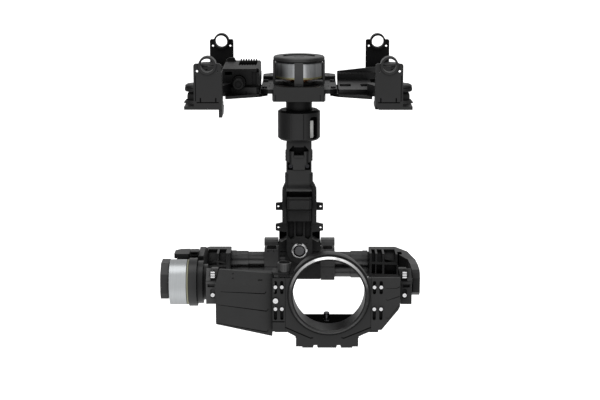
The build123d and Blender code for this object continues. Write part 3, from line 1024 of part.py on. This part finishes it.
with BuildPart() as thumb_knob:
    turned(KNOB_AT, [(0, KNOB_Z[0]), (KNOB_R, KNOB_Z[0]), (KNOB_R, KNOB_Z[1] - 0.6),
                     (KNOB_R - 0.6, KNOB_Z[1]), (KNOB_R - 1.3, KNOB_Z[1]),
                     (KNOB_R - 1.3, KNOB_Z[1] - 5.0), (0, KNOB_Z[1] - 5.0)])
    drum("z", KNOB_AT, 2.05, (SHELF[0], KNOB_Z[0]))
    with BuildSketch(Plane.XY.offset(KNOB_Z[0] + 1.2)) as grooves:
        with Locations(KNOB_AT):
            with PolarLocations(KNOB_R + 0.1, KNURLS):
                Circle(0.34)
    extrude(grooves.sketch, amount=depth(KNOB_Z) - 2.4, mode=CUT)
write(thumb_knob, "thumb_knob")

SCREW_AT = (28.5, 33.0)
THREAD_R = 3.1

with BuildPart() as camera_screw:
    turned(SCREW_AT, [(0, -286.0), (7.2, -286.0), (7.8, -285.2), (7.8, TRAY_FLOOR[0] - 0.3),
                      (2.5, TRAY_FLOOR[0] - 0.3), (2.5, -278.8), (THREAD_R, -278.8), (THREAD_R, -275.4),
                  (THREAD_R - 0.8, -274.6),
                      (0, -274.6)])
    block((SCREW_AT[0] - 5.4, SCREW_AT[0] + 5.4), (SCREW_AT[1] - 0.7, SCREW_AT[1] + 0.7),
          (-286.0, -285.0), mode=CUT)
write(camera_screw, "camera_screw")
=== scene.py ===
import json
import math

import bmesh
import bpy
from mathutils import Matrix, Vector


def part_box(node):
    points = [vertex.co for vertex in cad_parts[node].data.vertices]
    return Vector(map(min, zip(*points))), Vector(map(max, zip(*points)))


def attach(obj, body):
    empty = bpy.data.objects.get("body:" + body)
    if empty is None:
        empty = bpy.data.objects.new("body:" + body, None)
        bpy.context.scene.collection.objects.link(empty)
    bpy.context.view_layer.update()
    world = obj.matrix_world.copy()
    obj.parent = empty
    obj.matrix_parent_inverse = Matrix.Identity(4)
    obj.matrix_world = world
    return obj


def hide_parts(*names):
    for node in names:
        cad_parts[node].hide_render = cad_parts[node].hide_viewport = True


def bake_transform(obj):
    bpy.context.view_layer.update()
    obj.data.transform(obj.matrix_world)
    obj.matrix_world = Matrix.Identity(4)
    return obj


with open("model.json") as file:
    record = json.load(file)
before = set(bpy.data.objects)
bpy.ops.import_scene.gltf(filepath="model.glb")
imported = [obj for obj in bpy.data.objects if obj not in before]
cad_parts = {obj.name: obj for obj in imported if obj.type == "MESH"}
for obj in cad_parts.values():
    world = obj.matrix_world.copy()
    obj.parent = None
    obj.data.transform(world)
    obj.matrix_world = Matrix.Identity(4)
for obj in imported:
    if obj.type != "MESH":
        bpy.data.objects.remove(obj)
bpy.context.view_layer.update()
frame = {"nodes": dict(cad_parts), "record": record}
nodes = frame["nodes"]
MM = 0.001

# ---------------------------------------------------------------- shader helpers
EDGE_WEAR = 0.4 * MM
EDGE_ROUNDING = 0.25 * MM
FLAT_DOT, WORN_DOT = 0.995, 0.85
BEVEL_SAMPLES, CREVICE_SAMPLES = 4, 12
# Painted shade in crevices: ambient occlusion within this reach lowers the specular level towards this
# gloss, at this power.
CREVICE_REACH, PAINTED_SHADE_GLOSS, PAINTED_SHADE_POWER = 16 * MM, 0.02, 1.8
BLACK_GLOSS = 0.5
CLOUD_SCALE, SMUDGE_SCALE = 60.0, 220.0
ACROSS_LINES, ALONG_LINES = 5200.0, 30.0
DARK_SPREAD, METAL_SPREAD, RING_ROUGHNESS = 0.07, (0.05, 0.08), (0.24, 0.36)
# Painted shade on the tray floor's top face: its near-black tones and roughness; the frame keeps its own
# roughness.
PAINTED_SHADE_TONES, PAINTED_SHADE_ROUGHNESS, FRAME_ROUGHNESS = (0.0008, 0.0022), 0.95, 0.42
TONE_SPREAD, RING_SPREAD = (0.75, 1.25), (0.7, 1.4)
# Painted light on the lens ring's chamfer: it brightens over this rise in height above the axis, and below
# it painted shade keeps this share of the tone.
PAINTED_LIGHT_RISE, PAINTED_SHADE_SHARE = (3 * MM, 18 * MM), 0.22
STOPS = (0.3, 0.7)


def shader(name):
    """New node material; returns it with its tree, its Principled shader and its object coordinates."""
    material = bpy.data.materials.new(name)
    material.use_nodes = True
    tree = material.node_tree
    surface = tree.nodes["Principled BSDF"]
    where = tree.nodes.new("ShaderNodeTexCoord").outputs["Object"]
    return material, tree, surface, where


def calc(tree, operation, first, second=None):
    """Result of one arithmetic step; first and second are sockets or plain numbers."""
    node = tree.nodes.new("ShaderNodeMath")
    node.operation = operation
    for socket, value in zip(node.inputs, (first, second)):
        if isinstance(value, bpy.types.NodeSocket):
            tree.links.new(value, socket)
        elif value is not None:
            socket.default_value = value
    return node.outputs["Value"]


def span(tree, fac, low, high):
    """A 0 to 1 value stretched to a range."""
    node = tree.nodes.new("ShaderNodeMapRange")
    node.inputs["To Min"].default_value = low
    node.inputs["To Max"].default_value = high
    tree.links.new(fac, node.inputs["Value"])
    return node.outputs["Result"]


def eased(tree, value, start, end, low=0.0, high=1.0):
    """low up to start, high from end on, and a smooth rise between them."""
    node = tree.nodes.new("ShaderNodeMapRange")
    node.interpolation_type = "SMOOTHSTEP"
    for key, number in (("From Min", start), ("From Max", end), ("To Min", low), ("To Max", high)):
        node.inputs[key].default_value = number
    tree.links.new(value, node.inputs["Value"])
    return node.outputs["Result"]


def stretched(tree, where, scale):
    """Coordinates scaled apart along each axis, for turning lines and streaks."""
    mapping = tree.nodes.new("ShaderNodeMapping")
    mapping.inputs["Scale"].default_value = scale
    tree.links.new(where, mapping.inputs["Vector"])
    return mapping.outputs["Vector"]


def parted(tree, where):
    """The x, y and z of a place."""
    node = tree.nodes.new("ShaderNodeSeparateXYZ")
    tree.links.new(where, node.inputs["Vector"])
    return node.outputs


def noise(tree, where, scale, detail=3.0, roughness=0.5):
    node = tree.nodes.new("ShaderNodeTexNoise")
    node.inputs["Scale"].default_value = scale
    node.inputs["Detail"].default_value = detail
    node.inputs["Roughness"].default_value = roughness
    tree.links.new(where, node.inputs["Vector"])
    return node.outputs["Fac"]


def ramp(tree, fac, stops):
    """Colour ramp; stops are (position, colour) with grey given as one number."""
    node = tree.nodes.new("ShaderNodeValToRGB")
    elements = node.color_ramp.elements
    while len(elements) < len(stops):
        elements.new(0.5)
    for element, (place, tone) in zip(elements, stops):
        element.position = place
        rgb = (tone, tone, tone) if isinstance(tone, (int, float)) else tone
        element.color = (*rgb, 1.0)
    tree.links.new(fac, node.inputs["Fac"])
    return node.outputs["Color"]


def scaled(tone, factor):
    return [min(1.0, c * factor) for c in tone]


def clouded(tree, fac, tone, factors):
    """Tone that wanders between two factors of itself."""
    return ramp(tree, fac, [(stop, scaled(tone, factor)) for stop, factor in zip(STOPS, factors)])


def mixed(tree, fac, first, second):
    """Colour mix; first and second are sockets or plain colours."""
    node = tree.nodes.new("ShaderNodeMix")
    node.data_type = "RGBA"
    tree.links.new(fac, node.inputs["Factor"])
    for source, socket in ((first, node.inputs["A"]), (second, node.inputs["B"])):
        if isinstance(source, bpy.types.NodeSocket):
            tree.links.new(source, socket)
        else:
            socket.default_value = (*source, 1.0)
    return node.outputs["Result"]


def rounded_normal(tree, radius):
    node = tree.nodes.new("ShaderNodeBevel")
    node.samples = BEVEL_SAMPLES
    node.inputs["Radius"].default_value = radius
    return node.outputs["Normal"]


def edges(tree):
    """0 on flat faces, rising to 1 along edges, from how far a rounded normal leaves the true one."""
    dot = tree.nodes.new("ShaderNodeVectorMath")
    dot.operation = "DOT_PRODUCT"
    tree.links.new(rounded_normal(tree, EDGE_WEAR), dot.inputs[0])
    tree.links.new(tree.nodes.new("ShaderNodeNewGeometry").outputs["Normal"], dot.inputs[1])
    stretch = tree.nodes.new("ShaderNodeMapRange")
    stretch.inputs["From Min"].default_value = FLAT_DOT
    stretch.inputs["From Max"].default_value = WORN_DOT
    tree.links.new(dot.outputs["Value"], stretch.inputs["Value"])
    return stretch.outputs["Result"]


def painted_shade_openness(tree, power):
    """1 on open faces, falling towards 0 inside grooves, bays and corners; it lowers the specular level
    there as painted shade.
    """
    node = tree.nodes.new("ShaderNodeAmbientOcclusion")
    node.samples = CREVICE_SAMPLES
    node.inputs["Distance"].default_value = CREVICE_REACH
    return calc(tree, "POWER", node.outputs["AO"], power)


def bumped(tree, surface, height, distance, strength=1.0):
    """Bump from a height on top of slightly rounded edges."""
    bump = tree.nodes.new("ShaderNodeBump")
    bump.inputs["Strength"].default_value = strength
    bump.inputs["Distance"].default_value = distance
    tree.links.new(height, bump.inputs["Height"])
    tree.links.new(rounded_normal(tree, EDGE_ROUNDING), bump.inputs["Normal"])
    tree.links.new(bump.outputs["Normal"], surface.inputs["Normal"])


# ---------------------------------------------------------------- finishes
def dark_finish(name, tone, worn, rough, grain, depth, gloss=BLACK_GLOSS, crevice_shade_power=PAINTED_SHADE_POWER):
    """Blackened metal or moulding: cloudy tone, grain, painted shade in crevices through a lower specular
    level, and edges that catch some light.
    """
    material, tree, surface, where = shader(name)
    tint = clouded(tree, noise(tree, where, CLOUD_SCALE, 4.0), tone, TONE_SPREAD)
    tree.links.new(mixed(tree, edges(tree), tint, worn), surface.inputs["Base Color"])
    smudge = noise(tree, where, SMUDGE_SCALE, 5.0)
    roughness = span(tree, smudge, rough - DARK_SPREAD, rough + DARK_SPREAD)
    tree.links.new(roughness, surface.inputs["Roughness"])
    # Painted shade: the specular level sinks towards almost nothing in crevices.
    shine_under_painted_shade = span(tree, painted_shade_openness(tree, crevice_shade_power), PAINTED_SHADE_GLOSS, gloss)
    tree.links.new(shine_under_painted_shade, surface.inputs["Specular IOR Level"])
    bumped(tree, surface, noise(tree, where, grain, 2.0), depth * MM)
    return material


def lathe_lines(tree, where, around, detail, roughness=0.5):
    """Fine lines that run round the axis named by around."""
    scale = [ALONG_LINES] * 3
    scale["xyz".index(around)] = ACROSS_LINES
    return noise(tree, stretched(tree, where, scale), 1.0, detail, roughness)


def bare_metal(tree, surface, tint, lines, rough):
    """Bare metal whose gloss and surface follow its fine lines."""
    tree.links.new(tint, surface.inputs["Base Color"])
    below, above = METAL_SPREAD
    tree.links.new(span(tree, lines, rough - below, rough + above), surface.inputs["Roughness"])
    surface.inputs["Metallic"].default_value = 1.0
    bumped(tree, surface, lines, 0.02 * MM, 0.5)


def turned_metal(name, tone, rough, around, contrast=0.14):
    """Lathe-turned metal, lined round the axis named by around."""
    material, tree, surface, where = shader(name)
    lines = lathe_lines(tree, where, around, 3.0, 0.6)
    bare_metal(tree, surface, clouded(tree, lines, tone, (1 - contrast, 1 + contrast / 2)), lines, rough)
    return material


def metal_with_painted_streaks(name, tone, rough):
    """Ground magnet ring behind its cage: fine turning lines with broad upright painted reflections over
    them.
    """
    material, tree, surface, where = shader(name)
    # Painted reflection: broad upright bands lighter and darker than the metal's tone.
    painted_reflection_streaks = noise(tree, stretched(tree, where, (190.0, 190.0, 6.0)), 1.0, 4.0, 0.6)
    tint = ramp(tree, painted_reflection_streaks, ((0.28, scaled(tone, 0.55)), (0.5, tone), (0.72, scaled(tone, 1.3))))
    bare_metal(tree, surface, tint, lathe_lines(tree, where, "z", 2.0), rough)
    return material


def chamfered(name, base, worn, bright, centre, reach, front):
    """Black turned ring round an axis along y.

    The chamfer lies beyond reach from the axis and before the plane y = front. It is polished bare,
    with painted light bright on its upper half and painted shade dim below.
    """
    material, tree, surface, where = shader(name)
    offset = tree.nodes.new("ShaderNodeVectorMath")
    offset.operation = "SUBTRACT"
    tree.links.new(where, offset.inputs[0])
    offset.inputs[1].default_value = centre
    length = tree.nodes.new("ShaderNodeVectorMath")
    length.operation = "LENGTH"
    tree.links.new(stretched(tree, offset.outputs["Vector"], (1.0, 0.0, 1.0)), length.inputs[0])
    outer = calc(tree, "GREATER_THAN", length.outputs["Value"], reach)
    place = parted(tree, where)
    bare = calc(tree, "MULTIPLY", outer, calc(tree, "LESS_THAN", place["Y"], front))
    lines = noise(tree, stretched(tree, where, (40.0, 4200.0, 40.0)), 1.0, 3.0, 0.6)
    dark = mixed(tree, edges(tree), clouded(tree, lines, base, RING_SPREAD), worn)
    # Painted light on the top of the chamfer, painted shade below it.
    upper = eased(tree, place["Z"], centre[2] + PAINTED_LIGHT_RISE[0], centre[2] + PAINTED_LIGHT_RISE[1])
    polish_with_painted_light = mixed(tree, upper, scaled(bright, PAINTED_SHADE_SHARE), bright)
    tree.links.new(mixed(tree, bare, dark, polish_with_painted_light), surface.inputs["Base Color"])
    tree.links.new(bare, surface.inputs["Metallic"])
    tree.links.new(span(tree, lines, *RING_ROUGHNESS), surface.inputs["Roughness"])
    bumped(tree, surface, lines, 0.01 * MM, 0.4)
    return material


def top_with_painted_shade(name, base, level, thickness):
    """Black frame whose floor, in a layer of some thickness above a level, is painted near black, matt and
    without gloss as painted shade.
    """
    material, tree, surface, where = shader(name)
    height = parted(tree, where)["Z"]
    under_top = calc(tree, "LESS_THAN", height, level + thickness)
    over_level = span(tree, calc(tree, "LESS_THAN", height, level), 1.0, 0.0)
    metal_part = span(tree, calc(tree, "MULTIPLY", under_top, over_level), 1.0, 0.0)
    shade_and_grain_noise = noise(tree, where, 900.0, 4.0)
    # Painted shade: near-black tones on the floor's top face.
    painted_shade_tone = ramp(tree, shade_and_grain_noise, tuple(zip(STOPS, PAINTED_SHADE_TONES)))
    metal = clouded(tree, noise(tree, where, CLOUD_SCALE), base, TONE_SPREAD)
    tree.links.new(mixed(tree, metal_part, painted_shade_tone, metal), surface.inputs["Base Color"])
    tree.links.new(span(tree, metal_part, PAINTED_SHADE_ROUGHNESS, FRAME_ROUGHNESS), surface.inputs["Roughness"])
    # Painted shade: the frame's specular level sinks in crevices, and the top face under painted shade has
    # the lowest level.
    shine_under_painted_shade = calc(tree, "MULTIPLY", metal_part, painted_shade_openness(tree, PAINTED_SHADE_POWER))
    tree.links.new(span(tree, shine_under_painted_shade, PAINTED_SHADE_GLOSS, BLACK_GLOSS), surface.inputs["Specular IOR Level"])
    bumped(tree, surface, shade_and_grain_noise, 0.06 * MM)
    return material


def middle(node):
    low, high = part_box(node)
    return [(a + b) / 2 for a, b in zip(low, high)]


FRAME_TONE = (0.0042, 0.0042, 0.0046)
FINISH = {}

# Name, tone, tone of worn edges, roughness, scale and depth (mm) of the grain, gloss, and how fast the
# painted shade in crevices deepens.
for row in (
        ("frame_black", FRAME_TONE, (0.020, 0.020, 0.021), 0.40, 3800.0, 0.02),
        ("cover_black", (0.0075, 0.0075, 0.0078), (0.018, 0.018, 0.018), 0.46, 2600.0, 0.04, 0.55),
        ("tube_black", (0.012, 0.012, 0.0124), (0.03, 0.03, 0.03), 0.34, 5200.0, 0.01, 0.9, 1.0),
        ("motor_black", (0.0055, 0.0055, 0.006), (0.025, 0.025, 0.026), 0.33, 4600.0, 0.01, 0.6),
        ("isolator_rubber", (0.010, 0.010, 0.010), (0.014, 0.014, 0.014), 0.55, 1800.0, 0.04),
        ("connector_white", (0.66, 0.67, 0.65), (0.72, 0.72, 0.72), 0.4, 2400.0, 0.03),
        ("board_green", (0.006, 0.026, 0.014), (0.012, 0.05, 0.025), 0.35, 1500.0, 0.03),
        ("box_black", (0.004, 0.004, 0.0042), (0.010, 0.010, 0.010), 0.44, 2600.0, 0.04, 0.24),
        # Rear rail brackets: a darker, duller copy of the frame black, as painted shade.
        ("bracket_painted_shade", (0.003, 0.003, 0.0033), (0.012, 0.012, 0.012), 0.42, 3800.0, 0.02, 0.16),
        ("knob_satin", (0.030, 0.030, 0.030), (0.06, 0.06, 0.06), 0.3, 4600.0, 0.01, 1.0, 0.8),
        ("satin_black", (0.010, 0.010, 0.0104), (0.03, 0.03, 0.03), 0.38, 3800.0, 0.02, 0.8, 1.2),
        ("satin_grey", (0.018, 0.018, 0.0186), (0.04, 0.04, 0.04), 0.38, 3800.0, 0.02, 1.0, 1.0),
        ("arm_left_black", (0.0065, 0.0065, 0.007), (0.022, 0.022, 0.023), 0.40, 3800.0, 0.02, 0.65),
        # Roll motor base: near black and almost without gloss.
        ("base_near_black_matt", (0.0012, 0.0012, 0.0013), (0.003, 0.003, 0.003), 0.7, 3000.0, 0.03, 0.05)):
    FINISH[row[0]] = dark_finish(*row)

# Name, tone, roughness, the axis it is turned on, and the contrast of its lines.
for row in (
        ("motor_silver_x", (0.53, 0.55, 0.56), 0.3, "x"),
        ("motor_silver_y", (0.62, 0.64, 0.65), 0.3, "y"),
        ("bezel_silver", (0.93, 0.93, 0.94), 0.18, "y", 0.06),
        ("seal_gold", (0.40, 0.38, 0.22), 0.45, "z"),
        ("seal_olive", (0.42, 0.41, 0.30), 0.5, "x"),
        ("screw_steel", (0.93, 0.93, 0.94), 0.24, "y", 0.08),
        ("bearing_steel", (0.55, 0.55, 0.57), 0.25, "x", 0.1),
        ("screw_black", (0.05, 0.05, 0.055), 0.35, "y"),
        ("winding_copper", (0.62, 0.30, 0.14), 0.4, "z"),
        ("stud_steel", (0.16, 0.16, 0.17), 0.3, "z", 0.3),
        ("shaft_steel", (0.22, 0.22, 0.23), 0.3, "y", 0.1)):
    FINISH[row[0]] = turned_metal(*row)

RIM_INNER_R, RIM_DEPTH = 37.25 * MM, 2.06 * MM
# Where the painted shade on the tray floor's top face lies, above the floor's lowest point.
PAINTED_SHADE_LEVEL, PAINTED_SHADE_LAYER = 2.5 * MM, 0.4 * MM
# The pan motor's magnet ring, with painted reflections.
FINISH["magnet_silver"] = metal_with_painted_streaks("magnet_silver", (0.52, 0.53, 0.54), 0.34)
# Lens ring: its chamfer carries painted light above and painted shade below.
FINISH["ring_black"] = chamfered(
    "ring_black", (0.004, 0.004, 0.0044), (0.03, 0.03, 0.03), (0.97, 0.97, 0.97),
    middle("lens_ring"), RIM_INNER_R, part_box("lens_ring")[0][1] + RIM_DEPTH)
# The tray floor: its top face is painted near black as painted shade.
FINISH["tray_black"] = top_with_painted_shade(
    "tray_black", FRAME_TONE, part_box("tray_floor")[0][2] + PAINTED_SHADE_LEVEL, PAINTED_SHADE_LAYER)

# Every piece takes the finish named by its material slot, except these.
NODE_FINISH = {
    "tilt_rotor": "motor_silver_x", "roll_rotor": "motor_silver_y", "pan_rotor": "magnet_silver",
    "roll_bezel": "bezel_silver", "roll_shaft": "shaft_steel", "camera_screw": "stud_steel",
    "tray_floor": "tray_black", "thumb_knob": "knob_satin", "roll_motor_base": "base_near_black_matt",
    "control_box_cover": "box_black", "control_box_base": "box_black", "control_plug": "box_black",
    # The rear rail brackets take the copy of the frame black darkened as painted shade.
    "rail_bracket_rear_left": "bracket_painted_shade", "rail_bracket_rear_right": "bracket_painted_shade",
    "end_arm_left": "arm_left_black", "tube_clamps": "satin_grey", "tray_side_left": "satin_grey",
    "tray_side_right": "frame_black", "pan_motor_lid": "satin_grey", "pan_motor_cage": "satin_black",
}

for part in frame["record"]["subparts"]:
    node, slot = part["node"], part["material_slot"]
    finish = FINISH[NODE_FINISH.get(node, slot)]
    nodes[node].data.materials.clear()
    nodes[node].data.materials.append(finish)


# ---------------------------------------------------------------- modelled pieces
def piece_from(name, mesh, finish):
    mesh.normal_update()
    data = bpy.data.meshes.new(name)
    mesh.to_mesh(data)
    mesh.free()
    data.materials.append(FINISH[finish])
    for face in data.polygons:
        face.use_smooth = True
    piece = bpy.data.objects.new(name, data)
    bpy.context.scene.collection.objects.link(piece)
    return piece


def quad_strip(mesh, first, second):
    """Faces between two closed loops of as many points."""
    for i in range(len(first)):
        j = (i + 1) % len(first)
        mesh.faces.new((first[i], first[j], second[j], second[i]))


def lathe(mesh, profile, place, steps, dent=None):
    """Rings of faces from (radius, along) points in mm; place puts a radius, angle and along in space."""
    loops = []
    for radius, along in profile:
        loop = []
        for step in range(steps):
            angle = 2 * math.pi * step / steps
            r = radius * dent(angle, along) if dent else radius
            loop.append(mesh.verts.new(Vector(place(r, angle, along)) * MM))
        loops.append(loop)
    for lower, upper in zip(loops, loops[1:]):
        quad_strip(mesh, lower, upper)
    return loops


def softened(points, step=0.7):
    """The same outline with points added along each run, at most step apart."""
    out = [points[0]]
    for a, b in zip(points, points[1:]):
        count = max(1, math.ceil(math.dist(a, b) / step))
        out += [tuple(a[k] + (b[k] - a[k]) * i / count for k in (0, 1)) for i in range(1, count + 1)]
    return out


BALL_INSET = 9.5
BALL_R, BALL_HALF_HEIGHT, BALL_FULLNESS = 9.45, 6.2, 2.6
BALL_RINGS, BALL_STEPS = 20, 72
WINDOW_DEPTH, WINDOW_HALF_HEIGHT, WINDOWS = 0.07, 2.3, 4


def isolator_balls():
    """Four rubber balls with four oval hollows, and a neck with a rolled rim through foot and lug."""
    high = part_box("dampers")[1]
    across, along = high[0] / MM - BALL_INSET, high[1] / MM - BALL_INSET
    foot, lug = -37.4, -26.8
    waist = (foot + lug) / 2

    def bulge(z):
        return BALL_R * (1 - (abs(z - waist) / BALL_HALF_HEIGHT) ** BALL_FULLNESS) ** (1 / BALL_FULLNESS)

    def hollow(angle, z):
        height = math.exp(-((z - waist) / WINDOW_HALF_HEIGHT) ** 4)
        return 1 - WINDOW_DEPTH * height * max(0.0, math.cos(WINDOWS * angle)) ** 4

    levels = [foot + (lug - foot) * i / BALL_RINGS for i in range(BALL_RINGS + 1)]
    lower_neck = [(0.9, -4.3), (4.6, -4.4), (5.4, -4.0), (5.5, -3.2), (3.9, -2.9), (3.9, -0.1), (5.4, 0.0)]
    upper_neck = [(5.4, 0.0), (3.9, 0.1), (3.9, 3.4), (2.9, 3.7), (0.9, 3.2)]
    profile = ([(r, foot + z) for r, z in lower_neck] + [(bulge(z), z) for z in levels]
               + [(r, lug + z) for r, z in upper_neck])
    mesh = bmesh.new()
    for sx in (-1, 1):
        for sy in (-1, 1):
            def place(r, angle, z):
                return sx * across + r * math.cos(angle), sy * along + r * math.sin(angle), z

            loops = lathe(mesh, profile, place, BALL_STEPS, hollow)
            mesh.faces.new(list(reversed(loops[0])))
            mesh.faces.new(loops[-1])
    balls = piece_from("isolator_balls", mesh, "isolator_rubber")
    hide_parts("dampers")
    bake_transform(balls)


SEAL_BORE_R, SEAL_R, SEAL_SHOULDER = 20.6, 22.9, 0.3
CAN_GAP, FLANGE_GAP = 0.35, 0.02
SEAL_STEPS = 96


def seal_ring():
    """Olive seal between the tilt can and the flange of the tilt motor."""
    _, y, z = [c / MM for c in middle("tilt_rotor")]
    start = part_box("tilt_rotor")[1][0] / MM + CAN_GAP
    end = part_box("tilt_motor_base")[0][0] / MM - FLANGE_GAP
    outline = [(SEAL_BORE_R, start), (SEAL_R - 0.6, start), (SEAL_R - 0.1, start + SEAL_SHOULDER),
               (SEAL_R, (start + end) / 2), (SEAL_R - 0.1, end - SEAL_SHOULDER), (SEAL_R - 0.5, end),
               (SEAL_BORE_R, end), (SEAL_BORE_R, start)]

    def place(r, angle, x):
        return x, y + r * math.cos(angle), z + r * math.sin(angle)

    mesh = bmesh.new()
    lathe(mesh, softened(outline), place, SEAL_STEPS)
    ring = piece_from("tilt_seal_ring", mesh, "seal_olive")
    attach(ring, "roll_frame")


RIB_WIDTH, RIB_THICKNESS, RIB_TAPER = 5.0, 1.3, 0.6
RIB_STEPS = 28


def window_rib(name, path, front):
    """Flat moulded rib along a curve of three (x, z) points in mm, through the windows of an end arm."""
    (x0, z0), (x1, z1), (x2, z2) = path
    mesh = bmesh.new()
    loops = []
    for i in range(RIB_STEPS + 1):
        t = i / RIB_STEPS
        x = (1 - t) ** 2 * x0 + 2 * t * (1 - t) * x1 + t * t * x2
        z = (1 - t) ** 2 * z0 + 2 * t * (1 - t) * z1 + t * t * z2
        dx, dz = (1 - t) * (x1 - x0) + t * (x2 - x1), (1 - t) * (z1 - z0) + t * (z2 - z1)
        reach = RIB_THICKNESS / 2 / math.hypot(dx, dz)
        nx, nz = -dz * reach, dx * reach
        corners = [(x - nx, front, z - nz), (x + nx, front, z + nz),
                   (x + nx * RIB_TAPER, front + RIB_WIDTH, z + nz * RIB_TAPER),
                   (x - nx * RIB_TAPER, front + RIB_WIDTH, z - nz * RIB_TAPER)]
        loops.append([mesh.verts.new(Vector(c) * MM) for c in corners])
    for first, second in zip(loops, loops[1:]):
        quad_strip(mesh, first, second)
    mesh.faces.new(loops[0][::-1])
    mesh.faces.new(loops[-1])
    bmesh.ops.recalc_face_normals(mesh, faces=mesh.faces)
    rib = piece_from(name, mesh, "cover_black")
    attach(rib, "roll_frame")


isolator_balls()
seal_ring()
window_rib("window_rib_left", ((-103.0, -238.0), (-92.0, -230.0), (-79.0, -235.0)), 81.0)
window_rib("window_rib_right", ((89.0, -231.0), (103.0, -231.0), (106.4, -244.0)), 84.0)

# ---------------------------------------------------------------- studio
FLOOR_Z, FLOOR_SIZE, FLOOR_GLOW = -0.345, 30.0, 0.9
FRONT_LIGHT, BACK_LIGHT, FLOOR_LIGHT, SIDE_LIGHT = 0.82, 0.52, 0.2, 0.3
# Where each change of the tent's light starts and ends, along a direction of length 1.
FRONT_TO_BACK, LEVEL_TO_FLOOR, MIDDLE_TO_SIDE = (-0.9, 0.9), (-0.25, -0.8), (0.45, 0.95)
LAMP_AIM = (0.0, 0.0, -0.15)
# Name, place and size in metres, and power in watts.
SOFTBOXES = (("top", (0.0, -0.2, 1.4), (1.6, 1.2), 6.0), ("front_left", (-1.3, -1.6, 0.6), (0.8, 1.2), 2.0))
CAMERA_PITCH, CAMERA_TURN = math.radians(12.0), math.radians(0.27)
CAMERA_AIM, CAMERA_DISTANCE = (0.001, 0.0, -0.1483), 1.434
CAMERA_LENS, CAMERA_SENSOR, CAMERA_CLIP = 85.8, 36.0, (0.05, 60.0)


def floor():
    """Pale floor that glows and casts nothing, so that the tent also lights the object from below."""
    bpy.ops.mesh.primitive_plane_add(size=FLOOR_SIZE, location=(0, 0, FLOOR_Z))
    plane = bpy.context.object
    plane.name = "studio_floor"
    material, tree, surface, where = shader("studio_floor")
    tint = ramp(tree, noise(tree, where, 3.0), tuple(zip(STOPS, (0.9, 0.92))))
    tree.links.new(tint, surface.inputs["Base Color"])
    surface.inputs["Roughness"].default_value = 0.9
    surface.inputs["Emission Color"].default_value = (1, 1, 1, 1)
    surface.inputs["Emission Strength"].default_value = FLOOR_GLOW
    plane.data.materials.append(material)
    plane.visible_diffuse = False
    plane.visible_glossy = False
    plane.visible_shadow = False


def softbox(name, where, size, power):
    data = bpy.data.lights.new(name, "AREA")
    data.shape = "RECTANGLE"
    data.size, data.size_y = size
    data.energy = power
    lamp = bpy.data.objects.new(name, data)
    lamp.location = where
    lamp.rotation_euler = (Vector(LAMP_AIM) - Vector(where)).to_track_quat("-Z", "Y").to_euler()
    bpy.context.scene.collection.objects.link(lamp)


def tent():
    """White cloth tent: brighter towards the lens side and below, dimmer behind and to the sides."""
    world = bpy.data.worlds.new("studio")
    bpy.context.scene.world = world
    world.use_nodes = True
    tree = world.node_tree
    background = tree.nodes["Background"]
    way = parted(tree, tree.nodes.new("ShaderNodeTexCoord").outputs["Generated"])
    depth = eased(tree, way["Y"], *FRONT_TO_BACK, FRONT_LIGHT, BACK_LIGHT)
    below = eased(tree, way["Z"], *LEVEL_TO_FLOOR, 0.0, FLOOR_LIGHT)
    sides = eased(tree, calc(tree, "ABSOLUTE", way["X"]), *MIDDLE_TO_SIDE, 1.0, SIDE_LIGHT)
    cloth = calc(tree, "MULTIPLY", calc(tree, "ADD", depth, below), sides)
    seen = tree.nodes.new("ShaderNodeLightPath").outputs["Is Camera Ray"]
    tree.links.new(calc(tree, "MAXIMUM", cloth, seen), background.inputs["Strength"])
    background.inputs["Color"].default_value = (1, 1, 1, 1)


def camera():
    """Looks 12 degrees down at the pan axis, from the lens side."""
    data = bpy.data.cameras.new("view")
    data.lens = CAMERA_LENS
    data.sensor_width = CAMERA_SENSOR
    data.clip_start, data.clip_end = CAMERA_CLIP
    view = bpy.data.objects.new("view", data)
    level = math.cos(CAMERA_PITCH)
    away = Vector((math.sin(CAMERA_TURN) * level, -math.cos(CAMERA_TURN) * level, math.sin(CAMERA_PITCH)))
    view.location = Vector(CAMERA_AIM) + away * CAMERA_DISTANCE
    view.rotation_euler = (math.pi / 2 - CAMERA_PITCH, 0.0, CAMERA_TURN)
    bpy.context.scene.collection.objects.link(view)
    bpy.context.scene.camera = view


floor()
for row in SOFTBOXES:
    softbox(*row)
tent()
camera()
bpy.context.scene.view_settings.view_transform = "Standard"
